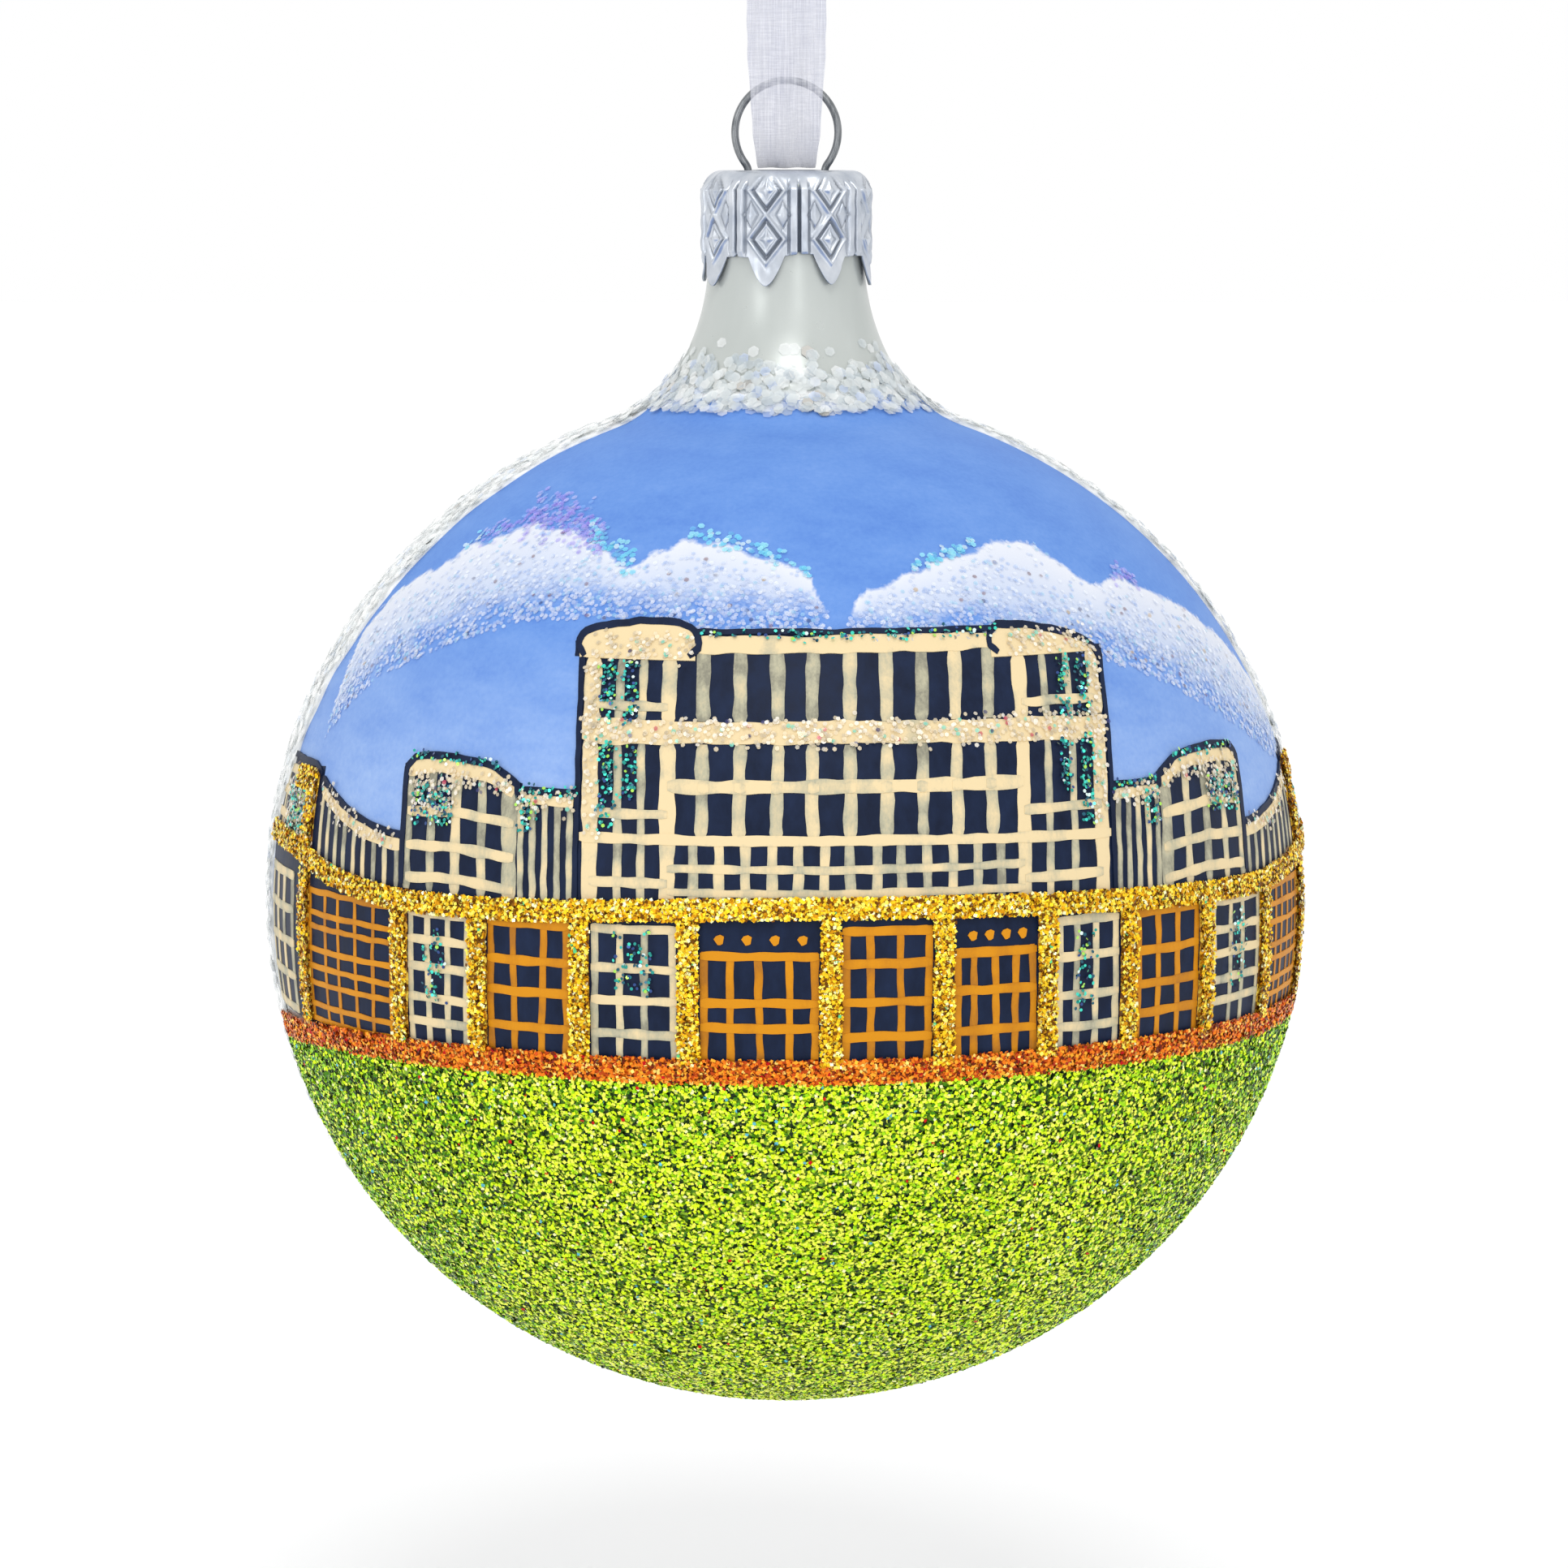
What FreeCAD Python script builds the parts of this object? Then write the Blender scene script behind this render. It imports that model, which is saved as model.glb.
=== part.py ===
import FreeCAD, Part
import math
import os

V = FreeCAD.Vector

# Hanging glass ball ornament.  Millimetres, +Z up, the painted front faces -Y.
# Everything is drawn about the ball's centre and then lowered by HANG_HEIGHT, so that the
# origin is the point inside the top of the ribbon loop where a hook carries the weight.
HANG_HEIGHT = 100.0

# Blown glass
BALL_R = 41.3
BALL_HALF_HEIGHT = 40.2
BALL_WALL = 0.6
NECK_R = 6.25
NECK_WALL = 0.85
NECK_STRAIGHT_FROM = 51.0
NECK_TOP = 57.3
FLARE = [(7.35, 45.6), (8.45, 42.6), (10.3, 40.4)]
FLARE_NORMAL = (0.94, 0.35)
SHOULDER_R = 14.0

# Coats on the glass: offsets of their inner and outer faces from the glass
PAINT_COAT = (0.05, 0.25)
GREEN_COAT = (0.05, 0.6)
ORANGE_COAT = (0.05, 0.65)
GOLD_COAT = (0.3, 0.7)
CLOUD_COAT = (0.3, 0.5)
SNOW_COAT = (0.05, 0.8)

# The painted front, in degrees of azimuth from -Y towards +X
FRONT_LEFT = -84.0
FRONT_RIGHT = 93.0
PAINT_TOP = 39.2
SNOW_TOP = 43.2
BUILDING_AZIMUTH = 7.5

# Latitude bands, as heights from the ball's centre
PAINT_BOTTOM = -6.4
GREEN_TOP = -8.55
ORANGE_BAND = (-8.5, -6.5)
GOLD_BAND = (3.2, 5.2)
BELOW_BALL = -BALL_HALF_HEIGHT - 2.0
BARE_POLE_R = 0.3
PILLAR_HEIGHT = (-6.4, 3.1)
PILLAR_WIDTH = 2.0
PILLAR_PLACES = [-37.2, -29.3, -20.6, -12.3, -1.9, 6.5, 14.8, 22.2, 30.9, 40.1]
TOWER_PLACES = [-53.4, 52.0]
TOWER_HEIGHT = 11.6

# Clouds: azimuth span in degrees and height span
CLOUDS = [(-68.0, 2.0, 21.5, 28.0), (8.0, 66.0, 20.5, 28.0)]

# Pressed aluminium cap
CAP_R = 6.8
CAP_SHEET = 0.3
CAP_TOP = 58.1
CAP_CORNER_R = 1.4
SKIRT_FROM = 52.4
LOBE_TIP = 49.2
LOBE_FLARE = 0.28
LOBE_COUNT = 8
LOBE_PHASE = -13.9
VALLEY = 51.4
VALLEY_HALF_WIDTH = 1.1
TIP_HALF_WIDTH = 0.13
CUT_FROM = CAP_R + 2.0
CUT_DEPTH = 3.5
BEYOND = 1.0
WIRE_HOLE_R = 0.5

# Steel wire hanger: a ring with two sprung legs
WIRE_R = 0.3
RING_R = 4.1
RING_CENTRE = 61.1
RING_END_ANGLE = -37.0
RING_BEND_R = 1.2
LEG_STRAIGHT_TO = 52.2
LEG_SPLAY_X = 4.9
LEG_SPLAY_TO = 47.6
LEG_END = 40.5

# Sheer ribbon, tied in a loop through the ring
RIBBON_THICKNESS = 0.25
RIBBON_HALF_WIDTH = [(58.0, 2.2), (60.5, 2.6), (63.5, 2.85), (67.0, 3.1), (72.0, 3.17)]
RIBBON_ROUTE = [
    (-0.35, 101.2),
    (-2.6, 97.0),
    (-4.1, 90.0),
    (-3.2, 78.0),
    (-1.95, 66.2),
    (-1.9, 58.6),
    (1.9, 58.6),
    (1.95, 66.0),
    (3.0, 77.5),
    (4.0, 89.5),
    (2.7, 96.8),
    (0.35, 101.2),
]
ARC_SHARE = 0.45
KNOT_CENTRE = 102.6
KNOT_RADII = (2.9, 2.0, 2.3)
TAIL_LENGTH = 9.0
TAIL_WIDTH = 6.0
TAIL_LEANS = (-24.0, 16.8)
TAIL_ROOT = 0.8
RIBBON_REACH = 10.0


def flat(edges):
    return Part.Face(Part.Wire(edges))


def turned(face, left=-180.0, right=180.0):
    """Turn a face in the XZ half plane about Z, between two azimuths."""
    solid = face.revolve(V(0, 0, 0), V(0, 0, 1), right - left)
    solid.rotate(V(0, 0, 0), V(0, 0, 1), left - 90.0)
    return solid


def line(a, b):
    return Part.LineSegment(V(a[0], 0, a[1]), V(b[0], 0, b[1])).toShape()


def glass_profile(ball_offset, neck_offset, top):
    """Half the section of the ball and its flared neck, grown or shrunk by the offsets."""
    radius = BALL_R + ball_offset
    half_height = BALL_HALF_HEIGHT + ball_offset
    shoulder_z = half_height * math.sqrt(1 - (SHOULDER_R / radius) ** 2)
    ellipse = Part.Ellipse(V(radius, 0, 0), V(0, 0, half_height), V(0, 0, 0))
    low = ellipse.parameter(V(0, 0, -half_height))
    high = ellipse.parameter(V(SHOULDER_R, 0, shoulder_z))
    if high < low:
        low -= 2 * math.pi
    neck_r = NECK_R + neck_offset
    flare = [V(SHOULDER_R, 0, shoulder_z)]
    for r, z in reversed(FLARE):
        flare.append(V(r + FLARE_NORMAL[0] * neck_offset, 0, z + FLARE_NORMAL[1] * neck_offset))
    flare.append(V(neck_r, 0, NECK_STRAIGHT_FROM))
    slope = V(-shoulder_z * (radius / half_height) ** 2, 0, SHOULDER_R)
    curve = Part.BSplineCurve()
    curve.interpolate(Points=flare, InitialTangent=slope, FinalTangent=V(0, 0, 1))
    return flat([
        ellipse.toShape(low, high),
        curve.toShape(),
        line((neck_r, NECK_STRAIGHT_FROM), (neck_r, top)),
        line((neck_r, top), (0, top)),
        line((0, top), (0, -half_height)),
    ])


def glass_ball():
    hollow = turned(glass_profile(-BALL_WALL, -NECK_WALL, NECK_TOP + 1.0))
    return turned(glass_profile(0.0, 0.0, NECK_TOP)).cut(hollow)


def coat(faces, left, right, low, high):
    """A closed skin on the glass between two offsets, two azimuths and two heights."""
    inner, outer = faces
    skin = glass_profile(outer, outer, NECK_TOP).cut(glass_profile(inner, inner, NECK_TOP))
    reach = BALL_R + 5.0
    window = flat([
        line((BARE_POLE_R, low), (reach, low)),
        line((reach, low), (reach, high)),
        line((reach, high), (BARE_POLE_R, high)),
        line((BARE_POLE_R, high), (BARE_POLE_R, low)),
    ])
    return turned(skin.common(window).Faces[0], left, right)


def azimuth_of(distance, height):
    """Azimuth, in degrees, of a place given as an arc length from the building's middle."""
    ring = BALL_R * math.sqrt(1 - (height / BALL_HALF_HEIGHT) ** 2)
    return BUILDING_AZIMUTH + math.degrees(distance / ring)


def painted_scene():
    return coat(PAINT_COAT, FRONT_LEFT, FRONT_RIGHT, PAINT_BOTTOM, PAINT_TOP)


def green_glitter_coat():
    return coat(GREEN_COAT, FRONT_LEFT, FRONT_RIGHT, BELOW_BALL, GREEN_TOP)


def orange_glitter_band():
    return coat(ORANGE_COAT, FRONT_LEFT, FRONT_RIGHT, *ORANGE_BAND)


def gold_glitter_band():
    return coat(GOLD_COAT, FRONT_LEFT + 1.0, FRONT_RIGHT - 1.0, *GOLD_BAND)


def gold_strip(place, low, high):
    middle = azimuth_of(place, (low + high) / 2)
    half = math.degrees(PILLAR_WIDTH / 2 / BALL_R)
    return coat(GOLD_COAT, middle - half, middle + half, low, high)


def gold_glitter_pillars():
    strips = [gold_strip(place, *PILLAR_HEIGHT) for place in PILLAR_PLACES + TOWER_PLACES]
    strips += [gold_strip(place, GOLD_BAND[1] + 0.1, TOWER_HEIGHT) for place in TOWER_PLACES]
    return Part.makeCompound(strips)


def cloud_glitter():
    return Part.makeCompound([coat(CLOUD_COAT, *span) for span in CLOUDS])


def snow_back():
    """Flakes over the whole back of the ball."""
    left = FRONT_RIGHT + 0.4
    right = FRONT_LEFT - 0.4 + 360.0
    return coat(SNOW_COAT, left, right, BELOW_BALL, PAINT_TOP)


def snow_collar():
    """Flakes all round the foot of the neck."""
    return coat(SNOW_COAT, -180.0, 180.0, PAINT_TOP + 0.05, SNOW_TOP)


def cap_form(shrink):
    """The cap as a full solid of revolution, with its flared skirt, shrunk by the sheet."""
    r = CAP_R - shrink
    top = CAP_TOP - shrink
    corner = CAP_CORNER_R - shrink
    low = LOBE_TIP - BEYOND if shrink else LOBE_TIP
    middle = corner * math.sqrt(0.5)
    corner_arc = Part.Arc(
        V(r, 0, top - corner),
        V(r - corner + middle, 0, top - corner + middle),
        V(r - corner, 0, top),
    )
    edges = [
        line((0, low), (r + LOBE_FLARE, low)),
        line((r + LOBE_FLARE, low), (r, SKIRT_FROM)),
        line((r, SKIRT_FROM), (r, top - corner)),
        corner_arc.toShape(),
        line((r - corner, top), (0, top)),
        line((0, top), (0, low)),
    ]
    return turned(flat(edges))


def lobe_gap(azimuth):
    """The notch between two pointed lobes of the skirt, as a prism that cuts outwards."""
    tip_x = math.pi * CAP_R / LOBE_COUNT - TIP_HALF_WIDTH
    outline = [
        (-VALLEY_HALF_WIDTH, VALLEY),
        (VALLEY_HALF_WIDTH, VALLEY),
        (tip_x, LOBE_TIP),
        (tip_x, LOBE_TIP - BEYOND),
        (-tip_x, LOBE_TIP - BEYOND),
        (-tip_x, LOBE_TIP),
    ]
    corners = [V(x, -CUT_FROM, z) for x, z in outline]
    face = Part.Face(Part.makePolygon(corners + corners[:1]))
    prism = face.extrude(V(0, CUT_DEPTH, 0))
    prism.rotate(V(0, 0, 0), V(0, 0, 1), azimuth)
    return prism


def ornament_cap():
    cap = cap_form(0.0).cut(cap_form(CAP_SHEET))
    pitch = 360.0 / LOBE_COUNT
    for index in range(LOBE_COUNT):
        cap = cap.cut(lobe_gap(LOBE_PHASE + (index + 0.5) * pitch))
    for side in (-1, 1):
        hole = Part.makeCylinder(WIRE_HOLE_R, 2 * BEYOND, V(side * leg_x(), 0, CAP_TOP - BEYOND))
        cap = cap.cut(hole)
    return cap


def leg_x():
    """Where the legs go through the cap, from the ring's radius and its end bends."""
    end = math.radians(-RING_END_ANGLE)
    return RING_R * math.cos(end) - RING_BEND_R * (1 - math.cos(end))


def leg_edges(side):
    """One leg, from the end of the ring's arc down to its tip."""
    end = math.radians(-RING_END_ANGLE)
    start = (RING_R * math.cos(end), RING_CENTRE - RING_R * math.sin(end))
    bend_middle = (
        leg_x() + RING_BEND_R * (1 - math.cos(end / 2)),
        start[1] - RING_BEND_R * (math.sin(end) - math.sin(end / 2)),
    )
    bend_end = (leg_x(), start[1] - RING_BEND_R * math.sin(end))
    corners = [
        bend_end,
        (leg_x(), LEG_STRAIGHT_TO),
        (LEG_SPLAY_X, LEG_SPLAY_TO),
        (LEG_SPLAY_X - 0.25, LEG_END),
    ]
    first = Part.Arc(
        V(side * start[0], 0, start[1]),
        V(side * bend_middle[0], 0, bend_middle[1]),
        V(side * bend_end[0], 0, bend_end[1]),
    )
    points = [V(side * x, 0, z) for x, z in corners]
    return [first.toShape()] + rounded_runs(points)


def rounded_runs(points, report=None):
    """Straight runs joined by tangent arcs, each as large as its two runs allow."""
    edges = []
    here = points[0]
    for before, corner, after in zip(points, points[1:], points[2:]):
        into = before.sub(corner)
        out = after.sub(corner)
        half_turn = (math.pi - into.getAngle(out)) / 2
        setback = ARC_SHARE * min(into.Length, out.Length)
        radius = setback / math.tan(half_turn)
        if report is not None:
            report.append(round(radius, 2))
        into.normalize()
        out.normalize()
        start = corner.add(into.multiply(setback))
        end = corner.add(out.multiply(setback))
        bisector = start.add(end).multiply(0.5).sub(corner)
        bisector.normalize()
        middle = corner.add(bisector.multiply(radius / math.cos(half_turn) - radius))
        edges.append(Part.LineSegment(here, start).toShape())
        edges.append(Part.Arc(start, middle, end).toShape())
        here = end
    edges.append(Part.LineSegment(here, points[-1]).toShape())
    return edges


def wire_hanger():
    end = math.radians(RING_END_ANGLE)
    x = RING_R * math.cos(end)
    z = RING_CENTRE + RING_R * math.sin(end)
    ring = Part.Arc(V(-x, 0, z), V(0, 0, RING_CENTRE + RING_R), V(x, 0, z)).toShape()
    left = leg_edges(-1)
    path = Part.Wire(Part.sortEdges(left + [ring] + leg_edges(1))[0])
    tip = path.OrderedVertexes[0].Point
    first = path.OrderedEdges[0]
    tangent = first.tangentAt(first.FirstParameter)
    section = Part.Wire(Part.makeCircle(WIRE_R, tip, tangent))
    return path.makePipeShell([section], True, True)


def ribbon_face_outline():
    """The ribbon seen from the front: full width above, gathered where it is in the ring."""
    side = Part.BSplineCurve()
    side.interpolate([V(half, 0, z) for z, half in RIBBON_HALF_WIDTH])
    other = Part.BSplineCurve()
    other.interpolate([V(-half, 0, z) for z, half in RIBBON_HALF_WIDTH])
    low, low_half = RIBBON_HALF_WIDTH[0]
    high, full_half = RIBBON_HALF_WIDTH[-1]
    top = KNOT_CENTRE + 2.0
    return Part.Wire(Part.sortEdges([
        side.toShape(),
        line((full_half, high), (full_half, top)),
        line((full_half, top), (-full_half, top)),
        line((-full_half, top), (-full_half, high)),
        other.toShape(),
        line((-low_half, low), (low_half, low)),
    ])[0])


def ribbon_loop():
    radii = []
    points = [V(0, y, z) for y, z in RIBBON_ROUTE]
    path = Part.Wire(rounded_runs(points, radii))
    print("ribbon length", round(path.Length, 2), "mm, bend radii", radii)
    width = 2 * RIBBON_HALF_WIDTH[-1][1]
    start = points[0]
    run = points[1].sub(points[0])
    run.normalize()
    across = V(0, -run.z, run.y).multiply(RIBBON_THICKNESS / 2)
    side = V(width / 2, 0, 0)
    corners = [
        start.add(across).sub(side),
        start.add(across).add(side),
        start.sub(across).add(side),
        start.sub(across).sub(side),
    ]
    section = Part.makePolygon(corners + corners[:1])
    band = path.makePipeShell([section], True, True)
    print("ribbon volume", round(band.Volume, 2), "section x length",
          round(width * RIBBON_THICKNESS * path.Length, 2))
    front = Part.Face(ribbon_face_outline())
    front.translate(V(0, -RIBBON_REACH, 0))
    return band.common(front.extrude(V(0, 2 * RIBBON_REACH, 0)))


def ribbon_tail(lean):
    tail = Part.makeBox(TAIL_WIDTH, RIBBON_THICKNESS, TAIL_LENGTH)
    tail.translate(V(-TAIL_WIDTH / 2, -RIBBON_THICKNESS / 2, 0))
    tail.rotate(V(0, 0, 0), V(1, 0, 0), lean)
    tail.translate(V(0, 0, KNOT_CENTRE + TAIL_ROOT))
    return tail


def ribbon_knot():
    lump = Part.makeSphere(1.0)
    stretch = FreeCAD.Matrix()
    stretch.scale(*KNOT_RADII)
    lump = lump.transformGeometry(stretch)
    lump.translate(V(0, 0, KNOT_CENTRE))
    knot = lump
    for lean in TAIL_LEANS:
        knot = knot.fuse(ribbon_tail(lean))
    return knot


NODES = {
    "ribbon_loop": ribbon_loop,
    "ribbon_knot": ribbon_knot,
    "wire_hanger": wire_hanger,
    "ornament_cap": ornament_cap,
    "glass_ball": glass_ball,
    "painted_scene": painted_scene,
    "green_glitter_coat": green_glitter_coat,
    "orange_glitter_band": orange_glitter_band,
    "gold_glitter_band": gold_glitter_band,
    "gold_glitter_pillars": gold_glitter_pillars,
    "cloud_glitter": cloud_glitter,
    "snow_back": snow_back,
    "snow_collar": snow_collar,
}

os.makedirs("parts", exist_ok=True)
for name, build in NODES.items():
    shape = build()
    shape.translate(V(0, 0, -HANG_HEIGHT))
    box = shape.BoundBox
    print(name, "valid", shape.isValid(), "solids", len(shape.Solids),
          "volume", round(shape.Volume, 1), "z", round(box.ZMin, 2), round(box.ZMax, 2))
    shape.exportStep("parts/" + name + ".step")
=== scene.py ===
import math

import bpy
import numpy as np
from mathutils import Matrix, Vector


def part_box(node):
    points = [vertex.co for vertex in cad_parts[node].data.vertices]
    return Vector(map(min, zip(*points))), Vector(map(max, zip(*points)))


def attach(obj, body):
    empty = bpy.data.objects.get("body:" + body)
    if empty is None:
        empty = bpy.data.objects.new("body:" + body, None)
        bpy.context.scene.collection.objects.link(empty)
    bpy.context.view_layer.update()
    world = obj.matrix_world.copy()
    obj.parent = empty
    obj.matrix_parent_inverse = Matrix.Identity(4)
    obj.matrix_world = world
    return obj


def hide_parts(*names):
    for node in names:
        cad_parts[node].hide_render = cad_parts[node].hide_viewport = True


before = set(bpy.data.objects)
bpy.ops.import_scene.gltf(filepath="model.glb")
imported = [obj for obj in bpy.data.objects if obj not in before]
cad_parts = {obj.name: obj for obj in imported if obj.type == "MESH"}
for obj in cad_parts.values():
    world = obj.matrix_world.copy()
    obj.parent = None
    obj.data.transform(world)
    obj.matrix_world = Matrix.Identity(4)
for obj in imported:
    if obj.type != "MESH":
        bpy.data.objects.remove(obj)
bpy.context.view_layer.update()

# ---------------------------------------------------------------- measures
# Lengths are in millimetres from the ball's centre, and are turned into metres by to_world().
MM = 0.001
glass_low, glass_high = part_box("glass_ball")
BALL_R = (glass_high.x - glass_low.x) / 2 / MM
BALL_HALF_HEIGHT = BALL_R * 40.2 / 41.3
CENTRE_Z = glass_low.z + BALL_HALF_HEIGHT * MM
NECK_TOP = (glass_high.z - CENTRE_Z) / MM

SHOULDER_R = 14.0
NECK_R = 6.25
NECK_WALL = 0.85
BALL_WALL = 0.6
NECK_STRAIGHT_FROM = 51.0

PAINT_TOP = 39.2
PAINT_BOTTOM = -7.6
GOLD_BAND = (3.5, 4.9)
ORANGE_BAND = (-8.3, -6.6)
PICTURE_SHIFT = 5.1

# How far each layer stands off the glass
SKY_LIFT = 0.10
WALL_LIFT = 0.17
UPRIGHT_LIFT = 0.21
LEVEL_LIFT = 0.24
CROSSING_LIFT = 0.26
LINE_LIFT = 0.29


def to_world(x, y, z):
    return np.stack([np.asarray(x) * MM, np.asarray(y) * MM, np.asarray(z) * MM + CENTRE_Z], -1)


# ---------------------------------------------------------------- camera
CAMERA_ELEVATION = math.radians(7.0)
CAMERA_DISTANCE = 0.420
FRAME_WIDTH = 0.1270
AIM_ABOVE_CENTRE = 0.0088
SENSOR_MM = 36.0


def make_camera():
    data = bpy.data.cameras.new("camera")
    data.sensor_width = SENSOR_MM
    data.lens = SENSOR_MM * CAMERA_DISTANCE / FRAME_WIDTH
    camera = bpy.data.objects.new("camera", data)
    bpy.context.scene.collection.objects.link(camera)
    up = Vector((0, math.sin(CAMERA_ELEVATION), math.cos(CAMERA_ELEVATION)))
    back = Vector((0, -math.cos(CAMERA_ELEVATION), math.sin(CAMERA_ELEVATION)))
    aim = Vector((-0.0002, 0, CENTRE_Z)) + up * AIM_ABOVE_CENTRE
    camera.location = aim + back * CAMERA_DISTANCE
    camera.rotation_euler = (math.pi / 2 - CAMERA_ELEVATION, 0, 0)
    bpy.context.scene.camera = camera


make_camera()


# ---------------------------------------------------------------- meshes
def add_object(name, mesh, materials, body, replaced=()):
    piece = bpy.data.objects.new(name, mesh)
    bpy.context.scene.collection.objects.link(piece)
    for material in materials:
        mesh.materials.append(material)
    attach(piece, body)
    if replaced:
        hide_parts(*replaced)
    return piece


def mesh_from(name, points, faces, is_smooth=True):
    mesh = bpy.data.meshes.new(name)
    mesh.from_pydata([tuple(p) for p in points], [], faces)
    mesh.polygons.foreach_set("use_smooth", [is_smooth] * len(mesh.polygons))
    return mesh


def add_layer(mesh, name, values):
    """One value at every point of a mesh, for its material to read."""
    layer = mesh.attributes.new(name, "FLOAT", "POINT")
    layer.data.foreach_set("value", np.asarray(values, np.float32))


def grid_faces(rows, columns, start=0, closed=False, flip=False):
    """Quads over a grid of rows by columns of points, whose columns may close on themselves."""
    faces = []
    span = columns if closed else columns - 1
    for i in range(rows - 1):
        for j in range(span):
            k = (j + 1) % columns
            quad = (
                start + i * columns + j,
                start + i * columns + k,
                start + (i + 1) * columns + k,
                start + (i + 1) * columns + j,
            )
            faces.append(quad[::-1] if flip else quad)
    return faces


def shell_faces(rows, columns, closed=False):
    """A closed skin: an outer grid, an inner grid after it, and the walls between their edges."""
    count = rows * columns
    faces = grid_faces(rows, columns, 0, closed)
    faces += grid_faces(rows, columns, count, closed, flip=True)

    def wall(a, b):
        faces.append((b, a, a + count, b + count))

    for j in range(columns if closed else columns - 1):
        k = (j + 1) % columns
        wall(j, k)
        wall((rows - 1) * columns + k, (rows - 1) * columns + j)
    if not closed:
        for i in range(rows - 1):
            wall((i + 1) * columns, i * columns)
            wall(i * columns + columns - 1, (i + 1) * columns + columns - 1)
    return faces


# ---------------------------------------------------------------- the glass's surface
SHOULDER_Z = BALL_HALF_HEIGHT * math.sqrt(1 - (SHOULDER_R / BALL_R) ** 2)
FLARE_REACH = 5.0


def flare_curve(count=80):
    """The neck's flare, from the shoulder up to where the neck is straight."""
    slope = (BALL_HALF_HEIGHT / BALL_R) ** 2 * SHOULDER_R / SHOULDER_Z
    corners = np.array([
        (SHOULDER_R, SHOULDER_Z),
        (SHOULDER_R - FLARE_REACH, SHOULDER_Z + FLARE_REACH * slope),
        (NECK_R, NECK_STRAIGHT_FROM - FLARE_REACH),
        (NECK_R, NECK_STRAIGHT_FROM),
    ])
    t = np.linspace(0, 1, count)[:, None]
    weights = [(1 - t) ** 3, 3 * t * (1 - t) ** 2, 3 * t * t * (1 - t), t ** 3]
    return sum(w * c for w, c in zip(weights, corners))


FLARE = flare_curve()


def radius_at(z):
    """Glass radius at a height."""
    z = np.asarray(z, float)
    ball = BALL_R * np.sqrt(np.clip(1 - (z / BALL_HALF_HEIGHT) ** 2, 0, 1))
    neck = np.interp(z, FLARE[:, 1], FLARE[:, 0])
    return np.where(z < SHOULDER_Z, ball, neck)


def normal_at(z):
    """The radial and upward parts of the glass's normal at a height."""
    z = np.asarray(z, float)
    ball_r = radius_at(np.minimum(z, SHOULDER_Z)) / BALL_R ** 2
    ball_z = np.minimum(z, SHOULDER_Z) / BALL_HALF_HEIGHT ** 2
    step = 0.2
    slope = (radius_at(z + step) - radius_at(z - step)) / (2 * step)
    in_ball = z < SHOULDER_Z - step
    n_r = np.where(in_ball, ball_r, 1.0)
    n_z = np.where(in_ball, ball_z, -slope)
    size = np.hypot(n_r, n_z)
    return n_r / size, n_z / size


def on_glass(azimuth, z, lift):
    """World points at azimuths in radians (0 is -Y, growing towards +X) and heights in mm."""
    n_r, n_z = normal_at(z)
    r = radius_at(z) + n_r * lift
    return to_world(r * np.sin(azimuth), -r * np.cos(azimuth), z + n_z * lift)


def picture_azimuth(s, z):
    """Azimuth of a place in the picture, from its arc length right of the palace's middle."""
    return (np.asarray(s) + PICTURE_SHIFT) / radius_at(z)


def picture_s(azimuth, z):
    """Arc length right of the palace's middle, from an azimuth."""
    return azimuth * radius_at(z) - PICTURE_SHIFT


def on_picture(s, z, lift):
    return on_glass(picture_azimuth(s, z), np.asarray(z, float), lift)


def ripple(a, b, seed, waves=7, low=0.4, high=2.2):
    """A smooth irregular field from -1 to 1 over two coordinates in mm."""
    local = np.random.default_rng(seed)
    total = np.zeros(np.broadcast(a, b).shape)
    for _ in range(waves):
        angle = local.uniform(0, 2 * math.pi)
        k = local.uniform(low, high)
        phase = local.uniform(0, 2 * math.pi)
        total += np.sin(k * (np.cos(angle) * a + np.sin(angle) * b) + phase)
    return total / math.sqrt(waves) / 1.6


# How the painter's two long lines wander up and down along the picture
GOLD_WANDER = [
    (-62, 2.1), (-54, 1.9), (-50, 1.1), (-46, 0.25), (-37, -0.55), (-25, -0.25), (-15, 0.25),
    (-5, 0.5), (6, 0.45), (16, 0.2), (28, -0.25), (38, -0.5), (45, 0.0), (52, 0.9), (62, 1.5),
]
ORANGE_WANDER = [
    (-62, -1.9), (-57, -1.5), (-49, -0.8), (-42, -0.45), (-34, -0.2), (-25, 0.0), (20, 0.15),
    (46, -0.1), (62, -0.4),
]
LAWN_LEVEL_BELOW = -24.0


def wander(line, s):
    """Height of a wandering line at a place, with its corners rounded off."""
    table = np.array(line, float)
    near = [np.interp(s + shift, table[:, 0], table[:, 1]) for shift in (-2.0, -1.0, 0.0, 1.0, 2.0)]
    return sum(near) / len(near)


def gold_wander(s, z):
    return wander(GOLD_WANDER, s)


def orange_wander(s, z):
    return wander(ORANGE_WANDER, s)


def lawn_wander(s, z):
    """The lawn follows the orange line at its top and is level further down."""
    share = (z - LAWN_LEVEL_BELOW) / (ORANGE_BAND[0] - LAWN_LEVEL_BELOW)
    return wander(ORANGE_WANDER, s) * np.clip(share, 0, 1)


# The seams between front and back: angle low down, lean and wobble in degrees, where the lean
# begins, and a seed
LEFT_SEAM = (-81.0, 9.0, 1.1, 4.0, 5)
RIGHT_SEAM = (90.0, -6.0, 0.9, 10.0, 6)
SEAM_LEANS_OVER = 26.0


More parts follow.
